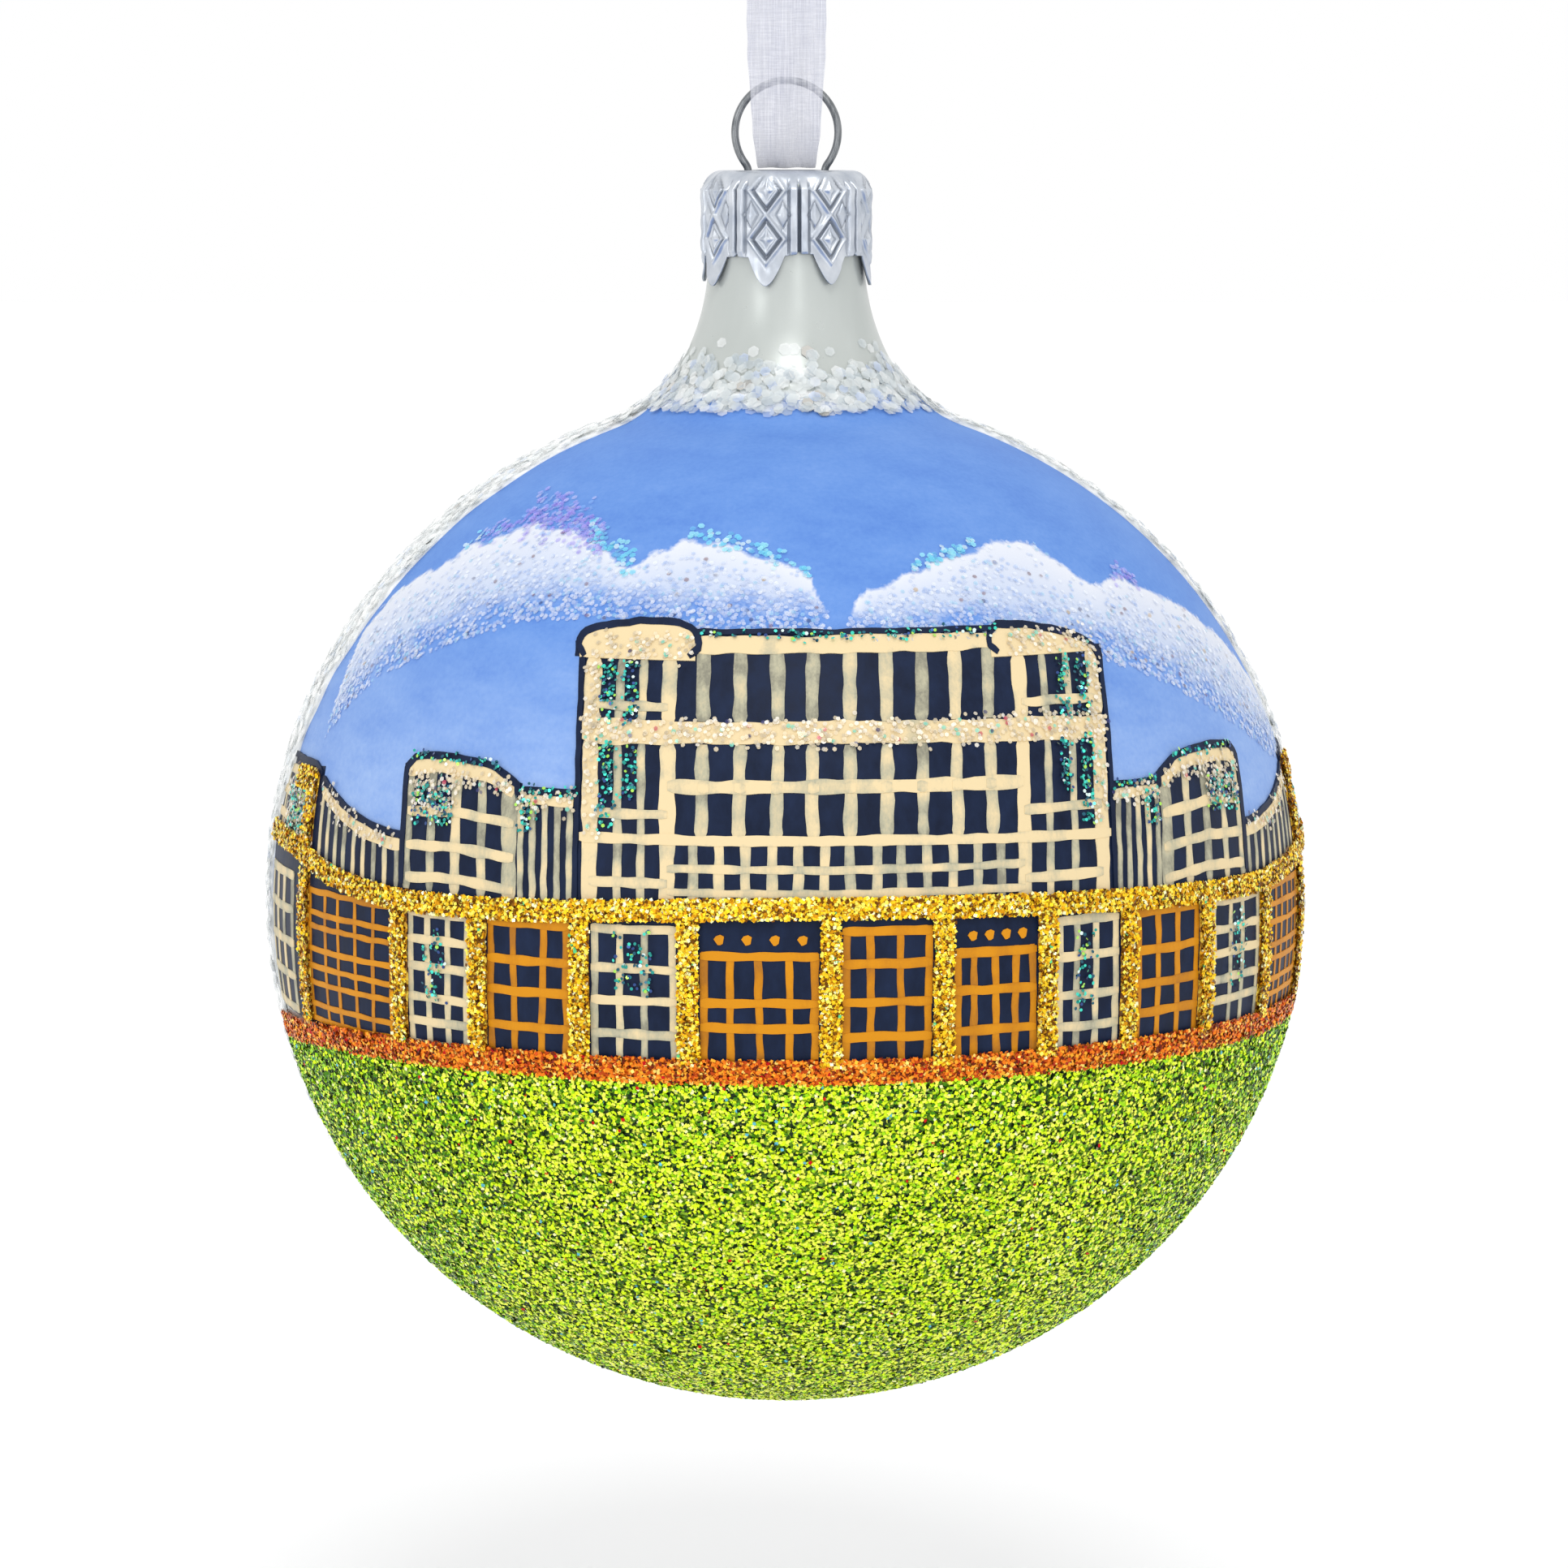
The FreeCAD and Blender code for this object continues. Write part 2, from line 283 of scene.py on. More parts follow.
def seam(measures, z):
    """Azimuth in radians where the flakes of the back begin."""
    low, lean, wobble, leans_from, seed = measures
    z = np.asarray(z, float)
    share = np.clip((z - leans_from) / SEAM_LEANS_OVER, 0, 1)
    return np.radians(low + lean * share + wobble * ripple(z, 0 * z, seed, low=0.3, high=1.6))


def front_seams(inset=0.0):
    """The front's left and right edges, drawn in by an angle, as functions of height."""
    return lambda z: seam(LEFT_SEAM, z) + inset, lambda z: seam(RIGHT_SEAM, z) - inset


def back_seams(inset=0.0):
    """The back's two edges, drawn in by an angle, as functions of height."""
    return lambda z: seam(RIGHT_SEAM, z) + inset, lambda z: seam(LEFT_SEAM, z) + 2 * math.pi - inset


# ---------------------------------------------------------------- materials
STUDIO_LIGHT = 1.16


def linear(r, g, b):
    """The surface colour that shows as this screen colour, 0 to 255, in the studio's light."""
    def one(v):
        v /= 255
        light = v / 12.92 if v <= 0.04045 else ((v + 0.055) / 1.055) ** 2.4
        return light / STUDIO_LIGHT
    return (one(r), one(g), one(b), 1.0)


def new_material(name, color, roughness, metallic=0.0, **sockets):
    material = bpy.data.materials.new(name)
    material.use_nodes = True
    shader = material.node_tree.nodes["Principled BSDF"]
    shader.inputs["Base Color"].default_value = color
    shader.inputs["Roughness"].default_value = roughness
    shader.inputs["Metallic"].default_value = metallic
    for socket, value in sockets.items():
        shader.inputs[socket.replace("_", " ")].default_value = value
    material.diffuse_color = color
    return material


def shader_of(material):
    return material.node_tree.nodes["Principled BSDF"]


def add_node(material, kind, **values):
    node = material.node_tree.nodes.new(kind)
    for name, value in values.items():
        setattr(node, name, value)
    return node


def link(material, source, target):
    material.node_tree.links.new(source, target)


def object_space(material, scale=(1.0, 1.0, 1.0)):
    place = add_node(material, "ShaderNodeTexCoord")
    mapping = add_node(material, "ShaderNodeMapping")
    mapping.inputs["Scale"].default_value = scale
    link(material, place.outputs["Object"], mapping.inputs["Vector"])
    return mapping.outputs["Vector"]


def noise(material, scale, detail=4.0, stretch=(1.0, 1.0, 1.0), rough=0.55):
    node = add_node(material, "ShaderNodeTexNoise")
    node.inputs["Scale"].default_value = scale
    node.inputs["Detail"].default_value = detail
    node.inputs["Roughness"].default_value = rough
    link(material, object_space(material, stretch), node.inputs["Vector"])
    return node.outputs["Fac"]


def ramp(material, factor, stops):
    node = add_node(material, "ShaderNodeValToRGB")
    elements = node.color_ramp.elements
    elements[0].position, elements[0].color = stops[0]
    elements[1].position, elements[1].color = stops[-1]
    for position, color in stops[1:-1]:
        extra = elements.new(position)
        extra.color = color
    link(material, factor, node.inputs["Fac"])
    return node.outputs["Color"]


def mix_color(material, factor, first, second, blend="MIX"):
    node = add_node(material, "ShaderNodeMix", data_type="RGBA", blend_type=blend)
    for value, socket in ((factor, node.inputs[0]), (first, node.inputs[6]), (second, node.inputs[7])):
        if isinstance(value, (int, float, tuple)):
            socket.default_value = value
        else:
            link(material, value, socket)
    return node.outputs[2]


def attribute(material, name):
    node = add_node(material, "ShaderNodeAttribute", attribute_name=name)
    return node.outputs["Fac"]


def scalar(material, operation, first, second):
    """A sum on two values, held between 0 and 1."""
    node = add_node(material, "ShaderNodeMath", operation=operation, use_clamp=True)
    for value, socket in ((first, node.inputs[0]), (second, node.inputs[1])):
        if isinstance(value, (int, float)):
            socket.default_value = value
        else:
            link(material, value, socket)
    return node.outputs[0]


def blend(material, first, first_share, second, second_share):
    """A weighted sum of two values."""
    return scalar(material, "ADD", scalar(material, "MULTIPLY", first, first_share),
                  scalar(material, "MULTIPLY", second, second_share))


def set_color(material, source):
    link(material, source, shader_of(material).inputs["Base Color"])


def set_roughness(material, factor, low, high):
    node = add_node(material, "ShaderNodeMapRange")
    node.inputs["To Min"].default_value = low
    node.inputs["To Max"].default_value = high
    link(material, factor, node.inputs["Value"])
    link(material, node.outputs["Result"], shader_of(material).inputs["Roughness"])


def add_bump(material, height, distance, strength=0.6):
    bump = add_node(material, "ShaderNodeBump")
    bump.inputs["Strength"].default_value = strength
    bump.inputs["Distance"].default_value = distance
    link(material, height, bump.inputs["Height"])
    link(material, bump.outputs["Normal"], shader_of(material).inputs["Normal"])


NAVY = linear(20, 31, 56)
CREAM = linear(244, 220, 172)
THIN_CREAM = linear(186, 182, 156)
AMBER = linear(224, 148, 10)
THIN_AMBER = linear(200, 128, 14)


def sky_material():
    """Periwinkle paint with brushed clouds, whose place is the mesh's cloud attribute."""
    material = new_material("sky_paint", linear(126, 160, 228), 0.62, Specular_IOR_Level=0.15)
    streaks = noise(material, 420, 6.0, (0.35, 0.35, 1.0), 0.62)
    fine = noise(material, 2600, 3.0)
    grain = blend(material, streaks, 0.72, fine, 0.28)
    blue = ramp(material, grain, [
        (0.22, linear(84, 130, 212)),
        (0.5, linear(104, 149, 222)),
        (0.8, linear(124, 164, 230)),
    ])
    low_blue = ramp(material, grain, [(0.28, linear(122, 159, 226)), (0.72, linear(164, 192, 238))])
    pale = mix_color(material, attribute(material, "haze"), blue, low_blue)
    loaded = blend(material, attribute(material, "cloud"), 0.75, fine, 0.5)
    cover = scalar(material, "MULTIPLY", scalar(material, "SUBTRACT", loaded, 0.4), 2.6)
    white = mix_color(material, attribute(material, "under"), linear(232, 235, 243), linear(182, 200, 232))
    set_color(material, mix_color(material, cover, pale, white))
    set_roughness(material, streaks, 0.5, 0.72)
    add_bump(material, fine, 0.00004, 0.5)
    return material


def stroke_material(name, full, thin, dark_share, roughness=0.5):
    """Poster paint that thins out where the stroke's load attribute is low."""
    material = new_material(name, full, roughness, Specular_IOR_Level=0.2)
    streaks = noise(material, 900, 5.0, (1.0, 1.0, 0.35), 0.65)
    speckle = noise(material, 3600, 4.0, (1.0, 1.0, 0.5), 0.7)
    body = blend(material, attribute(material, "load"), 0.7, streaks, 0.4)
    body = scalar(material, "ADD", body, scalar(material, "MULTIPLY", speckle, 0.5))
    body = scalar(material, "SUBTRACT", body, 0.3)
    bare = tuple(dark_share * n + (1 - dark_share) * t for n, t in zip(NAVY, thin))
    set_color(material, ramp(material, body, [(0.1, bare), (0.32, thin), (0.75, full)]))
    set_roughness(material, streaks, roughness - 0.1, roughness + 0.15)
    add_bump(material, streaks, 0.00005, 0.5)
    return material


def navy_material():
    material = new_material("navy_paint", NAVY, 0.5, Specular_IOR_Level=0.12)
    streaks = noise(material, 700, 5.0, (1.0, 1.0, 0.5), 0.6)
    set_color(material, ramp(material, streaks, [(0.25, linear(14, 24, 46)), (0.75, linear(28, 42, 72))]))
    set_roughness(material, streaks, 0.35, 0.55)
    add_bump(material, streaks, 0.00004, 0.5)
    return material


def glitter_bed(name, dark, mid, bright, cell=3400):
    """The glued bed under loose glitter: packed grains, each with its own tone."""
    material = new_material(name, mid, 0.4, 0.55)
    grains = add_node(material, "ShaderNodeTexVoronoi")
    grains.inputs["Scale"].default_value = cell
    link(material, object_space(material), grains.inputs["Vector"])
    tone = add_node(material, "ShaderNodeSeparateColor")
    link(material, grains.outputs["Color"], tone.inputs["Color"])
    set_color(material, ramp(material, tone.outputs["Red"], [(0.3, dark), (0.6, mid), (0.95, bright)]))
    set_roughness(material, tone.outputs["Green"], 0.2, 0.5)
    add_bump(material, grains.outputs["Distance"], 0.0001, 0.8)
    return material


FOIL_GAIN = 1.2


def flake_set(prefix, colors, metallic=0.85, roughness=0.25, gain=FOIL_GAIN, **sockets):
    """Plain foils, one for each tone of a glitter mix, made brighter because flakes shade one another."""
    foils = []
    for index, color in enumerate(colors):
        tone = tuple(min(1.0, v * gain) for v in linear(*color)[:3]) + (1.0,)
        foils.append(new_material(f"{prefix}_{index}", tone, roughness, metallic, **sockets))
    return foils


def pearl_glass():
    material = new_material("pearl_glass", linear(200, 206, 202), 0.3, 0.3, Coat_Weight=0.05,
                            Coat_Roughness=0.2)
    cloudy = noise(material, 130, 3.0, (1.0, 1.0, 0.25))
    set_color(material, ramp(material, cloudy, [(0.3, linear(184, 190, 186)), (0.7, linear(206, 211, 207))]))
    set_roughness(material, noise(material, 900, 3.0), 0.24, 0.36)
    return material


def cap_metal():
    material = new_material("cap_metal", linear(186, 192, 204), 0.34, 0.9)
    grain = noise(material, 2600, 5.0, (1.0, 1.0, 0.25), 0.6)
    worn = noise(material, 500, 4.0)
    tone = ramp(material, worn, [(0.3, linear(188, 196, 208)), (0.7, linear(226, 231, 238))])
    # Painted shade: the attribute read here darkens the metal towards a dark grey in the pressed grooves,
    # over the top face and over the inside.
    groove_and_shade = attribute(material, "groove_and_shade")
    set_color(material, mix_color(material, groove_and_shade, tone, linear(92, 100, 114)))
    set_roughness(material, grain, 0.24, 0.46)
    add_bump(material, grain, 0.00003, 0.5)
    return material


def wire_metal():
    material = new_material("wire_metal", linear(140, 143, 146), 0.28, 1.0)
    drawn = noise(material, 3000, 4.0, (1.0, 1.0, 0.2), 0.6)
    set_color(material, ramp(material, drawn, [(0.3, linear(108, 112, 116)), (0.7, linear(160, 163, 166))]))
    set_roughness(material, drawn, 0.2, 0.38)
    add_bump(material, drawn, 0.00001, 0.4)
    return material


RIBBON_THREADS_PER_M = 9000


def organza(name, alpha_low, alpha_high):
    """Sheer ribbon: fine warp threads, lighter and denser in places, with gaps between."""
    material = new_material(name, linear(206, 208, 220), 0.55, Sheen_Weight=0.5, Sheen_Roughness=0.4)
    warp = noise(material, RIBBON_THREADS_PER_M, 3.0, (1.0, 0.02, 0.03), 0.7)
    weft = noise(material, RIBBON_THREADS_PER_M, 2.0, (0.03, 1.0, 1.0), 0.6)
    patches = noise(material, 600, 3.0, (1.0, 0.4, 0.4))
    weave = blend(material, warp, 0.65, weft, 0.35)
    set_color(material, ramp(material, weave, [(0.35, linear(186, 189, 206)), (0.65, linear(232, 233, 241))]))
    density = blend(material, weave, 0.6, patches, 0.4)
    cover = add_node(material, "ShaderNodeMapRange")
    cover.inputs["From Min"].default_value = 0.35
    cover.inputs["From Max"].default_value = 0.65
    cover.inputs["To Min"].default_value = alpha_low
    cover.inputs["To Max"].default_value = alpha_high
    link(material, density, cover.inputs["Value"])
    link(material, cover.outputs["Result"], shader_of(material).inputs["Alpha"])
    add_bump(material, weave, 0.00003, 0.5)
    return material


# ---------------------------------------------------------------- ribbon, declared first
# Control points in the YZ plane, down in front of the ring, under it and up behind
RIBBON_ROUTE = [
    (-0.35, 101.2), (-2.6, 97.0), (-4.1, 90.0), (-3.2, 78.0), (-1.95, 66.2), (-1.9, 58.6),
    (1.9, 58.6), (1.95, 66.0), (3.0, 77.5), (4.0, 89.5), (2.7, 96.8), (0.35, 101.2),
]
RIBBON_HALF_WIDTH = [(58.0, 2.2), (60.5, 2.62), (63.5, 2.85), (67.0, 3.1), (72.0, 3.17), (110.0, 3.17)]
KNOT_HEIGHT = 102.4
RIBBON_SAG = 0.3
SAGS_BELOW = 60.0
GATHERS_FROM = 97.0
TAIL_LENGTH = 8.6
TAIL_HALF = (1.3, 2.95)


def route_points():
    """The ribbon's line, read back from the smooth curve through its route."""
    data = bpy.data.curves.new("ribbon_route", "CURVE")
    data.dimensions = "3D"
    data.resolution_u = 24
    spline = data.splines.new("NURBS")
    spline.points.add(len(RIBBON_ROUTE) - 1)
    for point, (y, z) in zip(spline.points, RIBBON_ROUTE):
        point.co = (0, y * MM, z * MM + CENTRE_Z, 1)
    spline.order_u = 3
    spline.use_endpoint_u = True
    curve = bpy.data.objects.new("ribbon_route", data)
    bpy.context.scene.collection.objects.link(curve)
    bpy.context.view_layer.update()
    line = bpy.data.meshes.new_from_object(curve)
    points = np.array([v.co[:] for v in line.vertices])
    bpy.data.objects.remove(curve)
    return points


def band_points(line, half_widths, columns, crease, seed):
    """A flat band along a line in the YZ plane, with soft lengthwise creases."""
    along = np.gradient(line, axis=0)
    along /= np.linalg.norm(along, axis=1)[:, None]
    across = np.array([1.0, 0.0, 0.0])
    outward = np.cross(along, across)
    length = np.concatenate([[0], np.cumsum(np.linalg.norm(np.diff(line, axis=0), axis=1))]) / MM
    u = np.linspace(-1, 1, columns)
    edge_wave = 1 + 0.018 * ripple(length, 0 * length, seed, low=0.5, high=3.0)
    places = []
    for i, point in enumerate(line):
        half = half_widths[i] * edge_wave[i]
        wave = 0.55 * np.cos(2.2 * math.pi * u + 0.5) + 0.45 * ripple(u * 4, length[i] * 0.15, seed + 1)
        fold = crease[i] * wave
        places.append(point + np.outer(u * half * MM, across) + np.outer(fold * MM, outward[i]))
    return np.concatenate(places)


def make_ribbon():
    line = route_points()
    heights = (line[:, 2] - CENTRE_Z) / MM
    table = np.array(RIBBON_HALF_WIDTH)
    half = np.interp(heights, table[:, 0], table[:, 1])
    gather = np.clip((heights - GATHERS_FROM) / 5.0, 0, 1)
    half *= 1 - 0.45 * gather
    crease = np.interp(heights, [58.0, 62.0, 70.0, 96.0, 102.0], [0.05, 0.10, 0.08, 0.10, 0.3])
    columns = 33
    resting = line.copy()
    resting[:, 2] -= RIBBON_SAG * np.clip(SAGS_BELOW - heights, 0, 1) * MM
    points = band_points(resting, half, columns, crease, 41)
    mesh = mesh_from("ribbon", points, grid_faces(len(line), columns))
    ribbon = add_object("ribbon", mesh, [organza("organza", 0.34, 0.86)], "ribbon", ["ribbon_loop"])
    return ribbon, line


def knot_wrap(tilt, ring, thick, width, squash, seed):
    """One turn of bunched ribbon round the knot: a flattened ring with folds along it."""
    turns, sides = 96, 20
    t = np.linspace(0, 2 * math.pi, turns, endpoint=False)[:, None]
    a = np.linspace(0, 2 * math.pi, sides, endpoint=False)[None, :]
    folds = 1 + 0.16 * np.sin(5 * a + 2.0 * np.sin(t + seed)) + 0.08 * np.sin(9 * a - 3 * t)
    radial = ring + thick * folds * np.cos(a)
    x = radial * np.cos(t)
    y = radial * np.sin(t) * squash
    z = width * folds * np.sin(a) + 0.25 * np.sin(2 * t + seed)
    c, s = math.cos(tilt), math.sin(tilt)
    points = to_world(x * c + z * s, y, -x * s + z * c + KNOT_HEIGHT).reshape(-1, 3)
    faces = []
    for i in range(turns):
        for j in range(sides):
            i2, j2 = (i + 1) % turns, (j + 1) % sides
            faces.append((i * sides + j, i2 * sides + j, i2 * sides + j2, i * sides + j2))
    return points, faces


def tail_band(lean, slant, seed):
    """A ribbon tail that spreads out above the knot and is cut on a slant."""
    rows, columns = 40, 25
    length = np.linspace(0, 1, rows)
    y = math.sin(lean) * (TAIL_LENGTH * length + 0.8 * np.sin(2.4 * length))
    z = KNOT_HEIGHT + 0.6 + math.cos(lean) * TAIL_LENGTH * length
    line = to_world(0 * y, y, z)
    half = TAIL_HALF[0] + (TAIL_HALF[1] - TAIL_HALF[0]) * np.clip(length * 2.6, 0, 1) ** 0.7
    crease = 0.4 * (1 - np.clip(length * 1.6, 0, 1)) + 0.1
    points = band_points(line, half, columns, crease, seed).reshape(rows, columns, 3)
    u = np.linspace(-1, 1, columns)
    points[:, :, 2] += np.outer(length ** 4, u) * 1.3 * MM * slant
    return points.reshape(-1, 3), grid_faces(rows, columns)


def make_knot():
    """Two turns of bunched ribbon and the two cut tails."""
    parts = [
        knot_wrap(0.35, 1.25, 0.62, 1.05, 0.8, 0.3),
        knot_wrap(-0.75, 1.0, 0.6, 0.8, 0.85, 1.9),
        tail_band(-0.42, 1.0, 51),
        tail_band(0.29, -1.0, 57),
    ]
    points, faces = [], []
    for some_points, some_faces in parts:
        start = len(points)
        points.extend(some_points)
        faces += [tuple(v + start for v in face) for face in some_faces]
    mesh = mesh_from("ribbon_knot_tied", points, faces)
    bunched = organza("organza_bunched", 0.72, 1.0)
    return add_object("ribbon_knot_tied", mesh, [bunched], "ribbon", ["ribbon_knot"])


ribbon_piece, ribbon_line = make_ribbon()
knot_piece = make_knot()


# ---------------------------------------------------------------- glass
def glass_outline(inset_ball=0.0, inset_neck=0.0, count=90):
    """Radius and height of the glass from the lowest point up to the neck's rim."""
    top = math.asin(SHOULDER_Z / BALL_HALF_HEIGHT)
    angle = np.linspace(-math.pi / 2, top, count)
    ball_r, ball_z = (BALL_R - inset_ball) * np.cos(angle), (BALL_HALF_HEIGHT - inset_ball) * np.sin(angle)
    flare = FLARE[2:].copy()
    fade = np.linspace(inset_ball, inset_neck, len(flare))
    flare[:, 0] -= fade
    flare[:, 1] -= 0.4 * fade * (1 - np.linspace(0, 1, len(flare)))
    rim = [(NECK_R - inset_neck, NECK_TOP - 0.3)]
    return np.concatenate([np.stack([ball_r, ball_z], -1)[1:], flare[:-1], rim])


def lathe(profile, segments):
    angle = np.linspace(0, 2 * math.pi, segments, endpoint=False)
    r, z = profile[:, 0][:, None], profile[:, 1][:, None]
    return to_world(r * np.sin(angle), -r * np.cos(angle), z + 0 * angle).reshape(-1, 3)


def make_glass():
    segments = 256
    outer = glass_outline()
    inner = glass_outline(BALL_WALL, NECK_WALL)
    soft_z = NECK_TOP - 0.08
    lip = [(NECK_R - 0.12, soft_z), (NECK_R - NECK_WALL / 2, NECK_TOP), (NECK_R - NECK_WALL + 0.12, soft_z)]
    profile = np.concatenate([outer, lip, inner[::-1]])
    points = list(lathe(profile, segments))
    faces = grid_faces(len(profile), segments, 0, closed=True)
    first, last = len(points), len(points) + 1
    points += list(to_world([0, 0], [0, 0], [-BALL_HALF_HEIGHT, -BALL_HALF_HEIGHT + BALL_WALL]))
    end = (len(profile) - 1) * segments
    for j in range(segments):
        k = (j + 1) % segments
        faces.append((first, k, j))
        faces.append((last, end + j, end + k))
    mesh = mesh_from("blown_glass", points, faces)
    return add_object("blown_glass", mesh, [pearl_glass()], "ball", ["glass_ball"])


# ---------------------------------------------------------------- sky with clouds
# Cloud outlines as picture places: tops from left to right, then undersides
LEFT_CLOUD_TOP = [
    (-51.0, 15.4), (-49.6, 22.4), (-46.0, 25.0), (-40.7, 27.2), (-32.0, 30.0), (-26.5, 31.4),
    (-23.0, 31.3), (-19.4, 29.9), (-17.4, 28.6), (-15.6, 29.7), (-12.4, 30.8), (-7.5, 29.9),
    (-3.3, 28.0), (-1.9, 25.4),
]
LEFT_CLOUD_UNDER = [
    (-51.0, 15.2), (-47.0, 18.4), (-41.9, 20.9), (-34.0, 23.5), (-26.5, 25.5), (-20.0, 26.1),
    (-12.3, 25.6), (-1.9, 25.2),
]
RIGHT_CLOUD_TOP = [
    (-0.9, 24.8), (1.0, 27.4), (6.2, 29.0), (11.4, 30.4), (14.5, 30.0), (17.6, 28.6), (20.8, 26.9),
    (25.5, 27.0), (33.7, 24.6), (41.4, 22.0), (47.0, 19.2), (52.4, 16.2),
]
RIGHT_CLOUD_UNDER = [
    (-0.9, 24.6), (10.0, 24.6), (20.0, 23.0), (28.0, 20.6), (38.0, 16.8), (46.0, 13.6), (52.4, 12.4),
]
CLOUDS = [(LEFT_CLOUD_TOP, LEFT_CLOUD_UNDER), (RIGHT_CLOUD_TOP, RIGHT_CLOUD_UNDER)]
SKY_UNDER_SNOW = 0.05
HAZE_FROM = 25.0
HAZE_DEPTH = 13.0
CLOUD_TOP_FADE = 0.5
CLOUD_UNDER_FADE = 3.4


def cloud_cover(s, z):
    """How much cloud paint a place has, crisp along the tops and thin along the undersides."""
    s, z = np.broadcast_arrays(np.asarray(s, float), np.asarray(z, float))
    wobble = 0.4 * ripple(s, z, 21, waves=11, low=0.8, high=4.0)
    cover = np.zeros(s.shape)
    for top, under in CLOUDS:
        top, under = np.array(top), np.array(under)
        above = np.interp(s, top[:, 0], top[:, 1], -99, -99) + wobble - z
        below = z - np.interp(s, under[:, 0], under[:, 1], 99, 99) + 1.6 * wobble
        one = np.clip(above / CLOUD_TOP_FADE, 0, 1) * np.clip(below / CLOUD_UNDER_FADE + 0.25, 0, 1)
        cover = np.maximum(cover, one)
    return cover


def cloud_underside(s, z):
    """1 at the bottom of the clouds, 0 at their tops."""
    s, z = np.broadcast_arrays(np.asarray(s, float), np.asarray(z, float))
    depth = np.zeros(s.shape)
    for top, under in CLOUDS:
        top, under = np.array(top), np.array(under)
        high = np.interp(s, top[:, 0], top[:, 1], -99, -99)
        low = np.interp(s, under[:, 0], under[:, 1], 99, 99)
        share = (high - z) / np.maximum(high - low, 0.5)
        inside = (s > top[0, 0]) & (s < top[-1, 0]) & (z < high) & (z > low - 1.2)
        depth = np.maximum(depth, np.where(inside, np.clip(share, 0, 1), 0))
    return depth


def make_sky():
    """The blue paint, which runs a little way under the snow at the seams and the neck."""
    rows, columns = 130, 380
    share = np.linspace(0, 1, columns)[None, :]
    ragged_top = PAINT_TOP + 1.0 + 0.3 * ripple(share * 40, 0 * share, 27, low=0.8, high=4.0)
    z = PAINT_BOTTOM + (ragged_top - PAINT_BOTTOM) * np.linspace(0, 1, rows)[:, None]
    left, right = [edge(z[:, :1]) for edge in front_seams(-SKY_UNDER_SNOW)]
    azimuth = left + (right - left) * share
    outer = on_glass(azimuth, z, SKY_LIFT).reshape(-1, 3)
    inner = on_glass(azimuth, z, 0.02).reshape(-1, 3)
    mesh = mesh_from("sky_paint", np.concatenate([outer, inner]), shell_faces(rows, columns))
    s = picture_s(azimuth, z)
    cover = cloud_cover(s, z).ravel()
    under = cloud_underside(s, z).ravel()
    haze = np.clip((HAZE_FROM - z) / HAZE_DEPTH, 0, 1).ravel()
    for name, values in (("cloud", cover), ("under", under), ("haze", haze)):
        add_layer(mesh, name, np.concatenate([values, values]))
    return add_object("sky_paint", mesh, [sky_material()], "ball", ["painted_scene"])


# ---------------------------------------------------------------- painted palace
class Paint:
    """Brush strokes and filled shapes of one colour, gathered into one mesh."""

    def __init__(self, name, material, seed):
        self.name = name
        self.material = material
        self.random = np.random.default_rng(seed)
        self.points = []
        self.faces = []
        self.load = []

    def add(self, points, faces, load):
        start = len(self.points)
        self.points.extend(points)
        self.faces.extend(tuple(v + start for v in face) for face in faces)
        self.load.extend(load)

    def fill(self, s, z, lift, load=1.0, low=0.05):
        """A closed patch over a grid of picture places."""
        rows, columns = s.shape
        top = on_picture(s, z, lift).reshape(-1, 3)
        bottom = on_picture(s, z, low).reshape(-1, 3)
        load = list(np.broadcast_to(load, s.shape).ravel())
        self.add(np.concatenate([top, bottom]), shell_faces(rows, columns), load + load)

    def wobbly(self, count, amount):
        steps = self.random.normal(0, 1, count + 4)
        soft = np.convolve(steps, [0.15, 0.35, 0.35, 0.15], "same")[2:-2]
        return amount * soft

    def block(self, s0, s1, z0, z1, lift, load=1.0, edge=0.06):
        """A filled panel with slightly uneven edges. z1 may be a function of place."""
        columns = max(3, int(abs(s1 - s0) / 0.6) + 2)
        across = np.linspace(s0, s1, columns)
        top = (z1(across) if callable(z1) else np.zeros(columns) + z1) + self.wobbly(columns, edge)
        rows = max(3, int((top.max() - z0) / 1.2) + 2)
        share = np.linspace(0, 1, rows)[:, None]
        z = z0 + (top - z0) * share
        s = across + 0 * share
        s[:, 0] += self.wobbly(rows, edge)
        s[:, -1] += self.wobbly(rows, edge)
        self.fill(s, z, lift, load)

    def stroke(self, places, width, lift, load=None, edge=0.045):
        """One brush stroke along a few picture places."""
        places = np.array(places, float)
        gaps = np.linalg.norm(np.diff(places, axis=0), axis=1)
        total = gaps.sum()
        count = max(4, int(total / 0.45) + 2)
        at = np.linspace(0, total, count)
        marks = np.concatenate([[0], np.cumsum(gaps)])
        line = np.stack([np.interp(at, marks, places[:, k]) for k in (0, 1)], -1)
        direction = np.gradient(line, axis=0)
        direction /= np.linalg.norm(direction, axis=1)[:, None]
        side = np.stack([-direction[:, 1], direction[:, 0]], -1)
        line = line + side * self.wobbly(count, edge)[:, None]
        half = width / 2 * (1 + self.wobbly(count, 0.13))
        half[0] *= 0.72
        half[-1] *= 0.72
        across = np.array([-1.0, -0.35, 0.35, 1.0])
        s = line[:, :1] + side[:, :1] * half[:, None] * across
        z = line[:, 1:] + side[:, 1:] * half[:, None] * across
        if load is None:
            load = self.random.uniform(0.1, 0.7)
        wear = self.wobbly(count, 0.3)[:, None] - 0.22 * np.abs(across) ** 3
        self.fill(s, z, lift, load + wear)

    def build(self):
        mesh = mesh_from(self.name, self.points, self.faces, False)
        add_layer(mesh, "load", self.load)
        return add_object(self.name, mesh, [self.material], "ball")


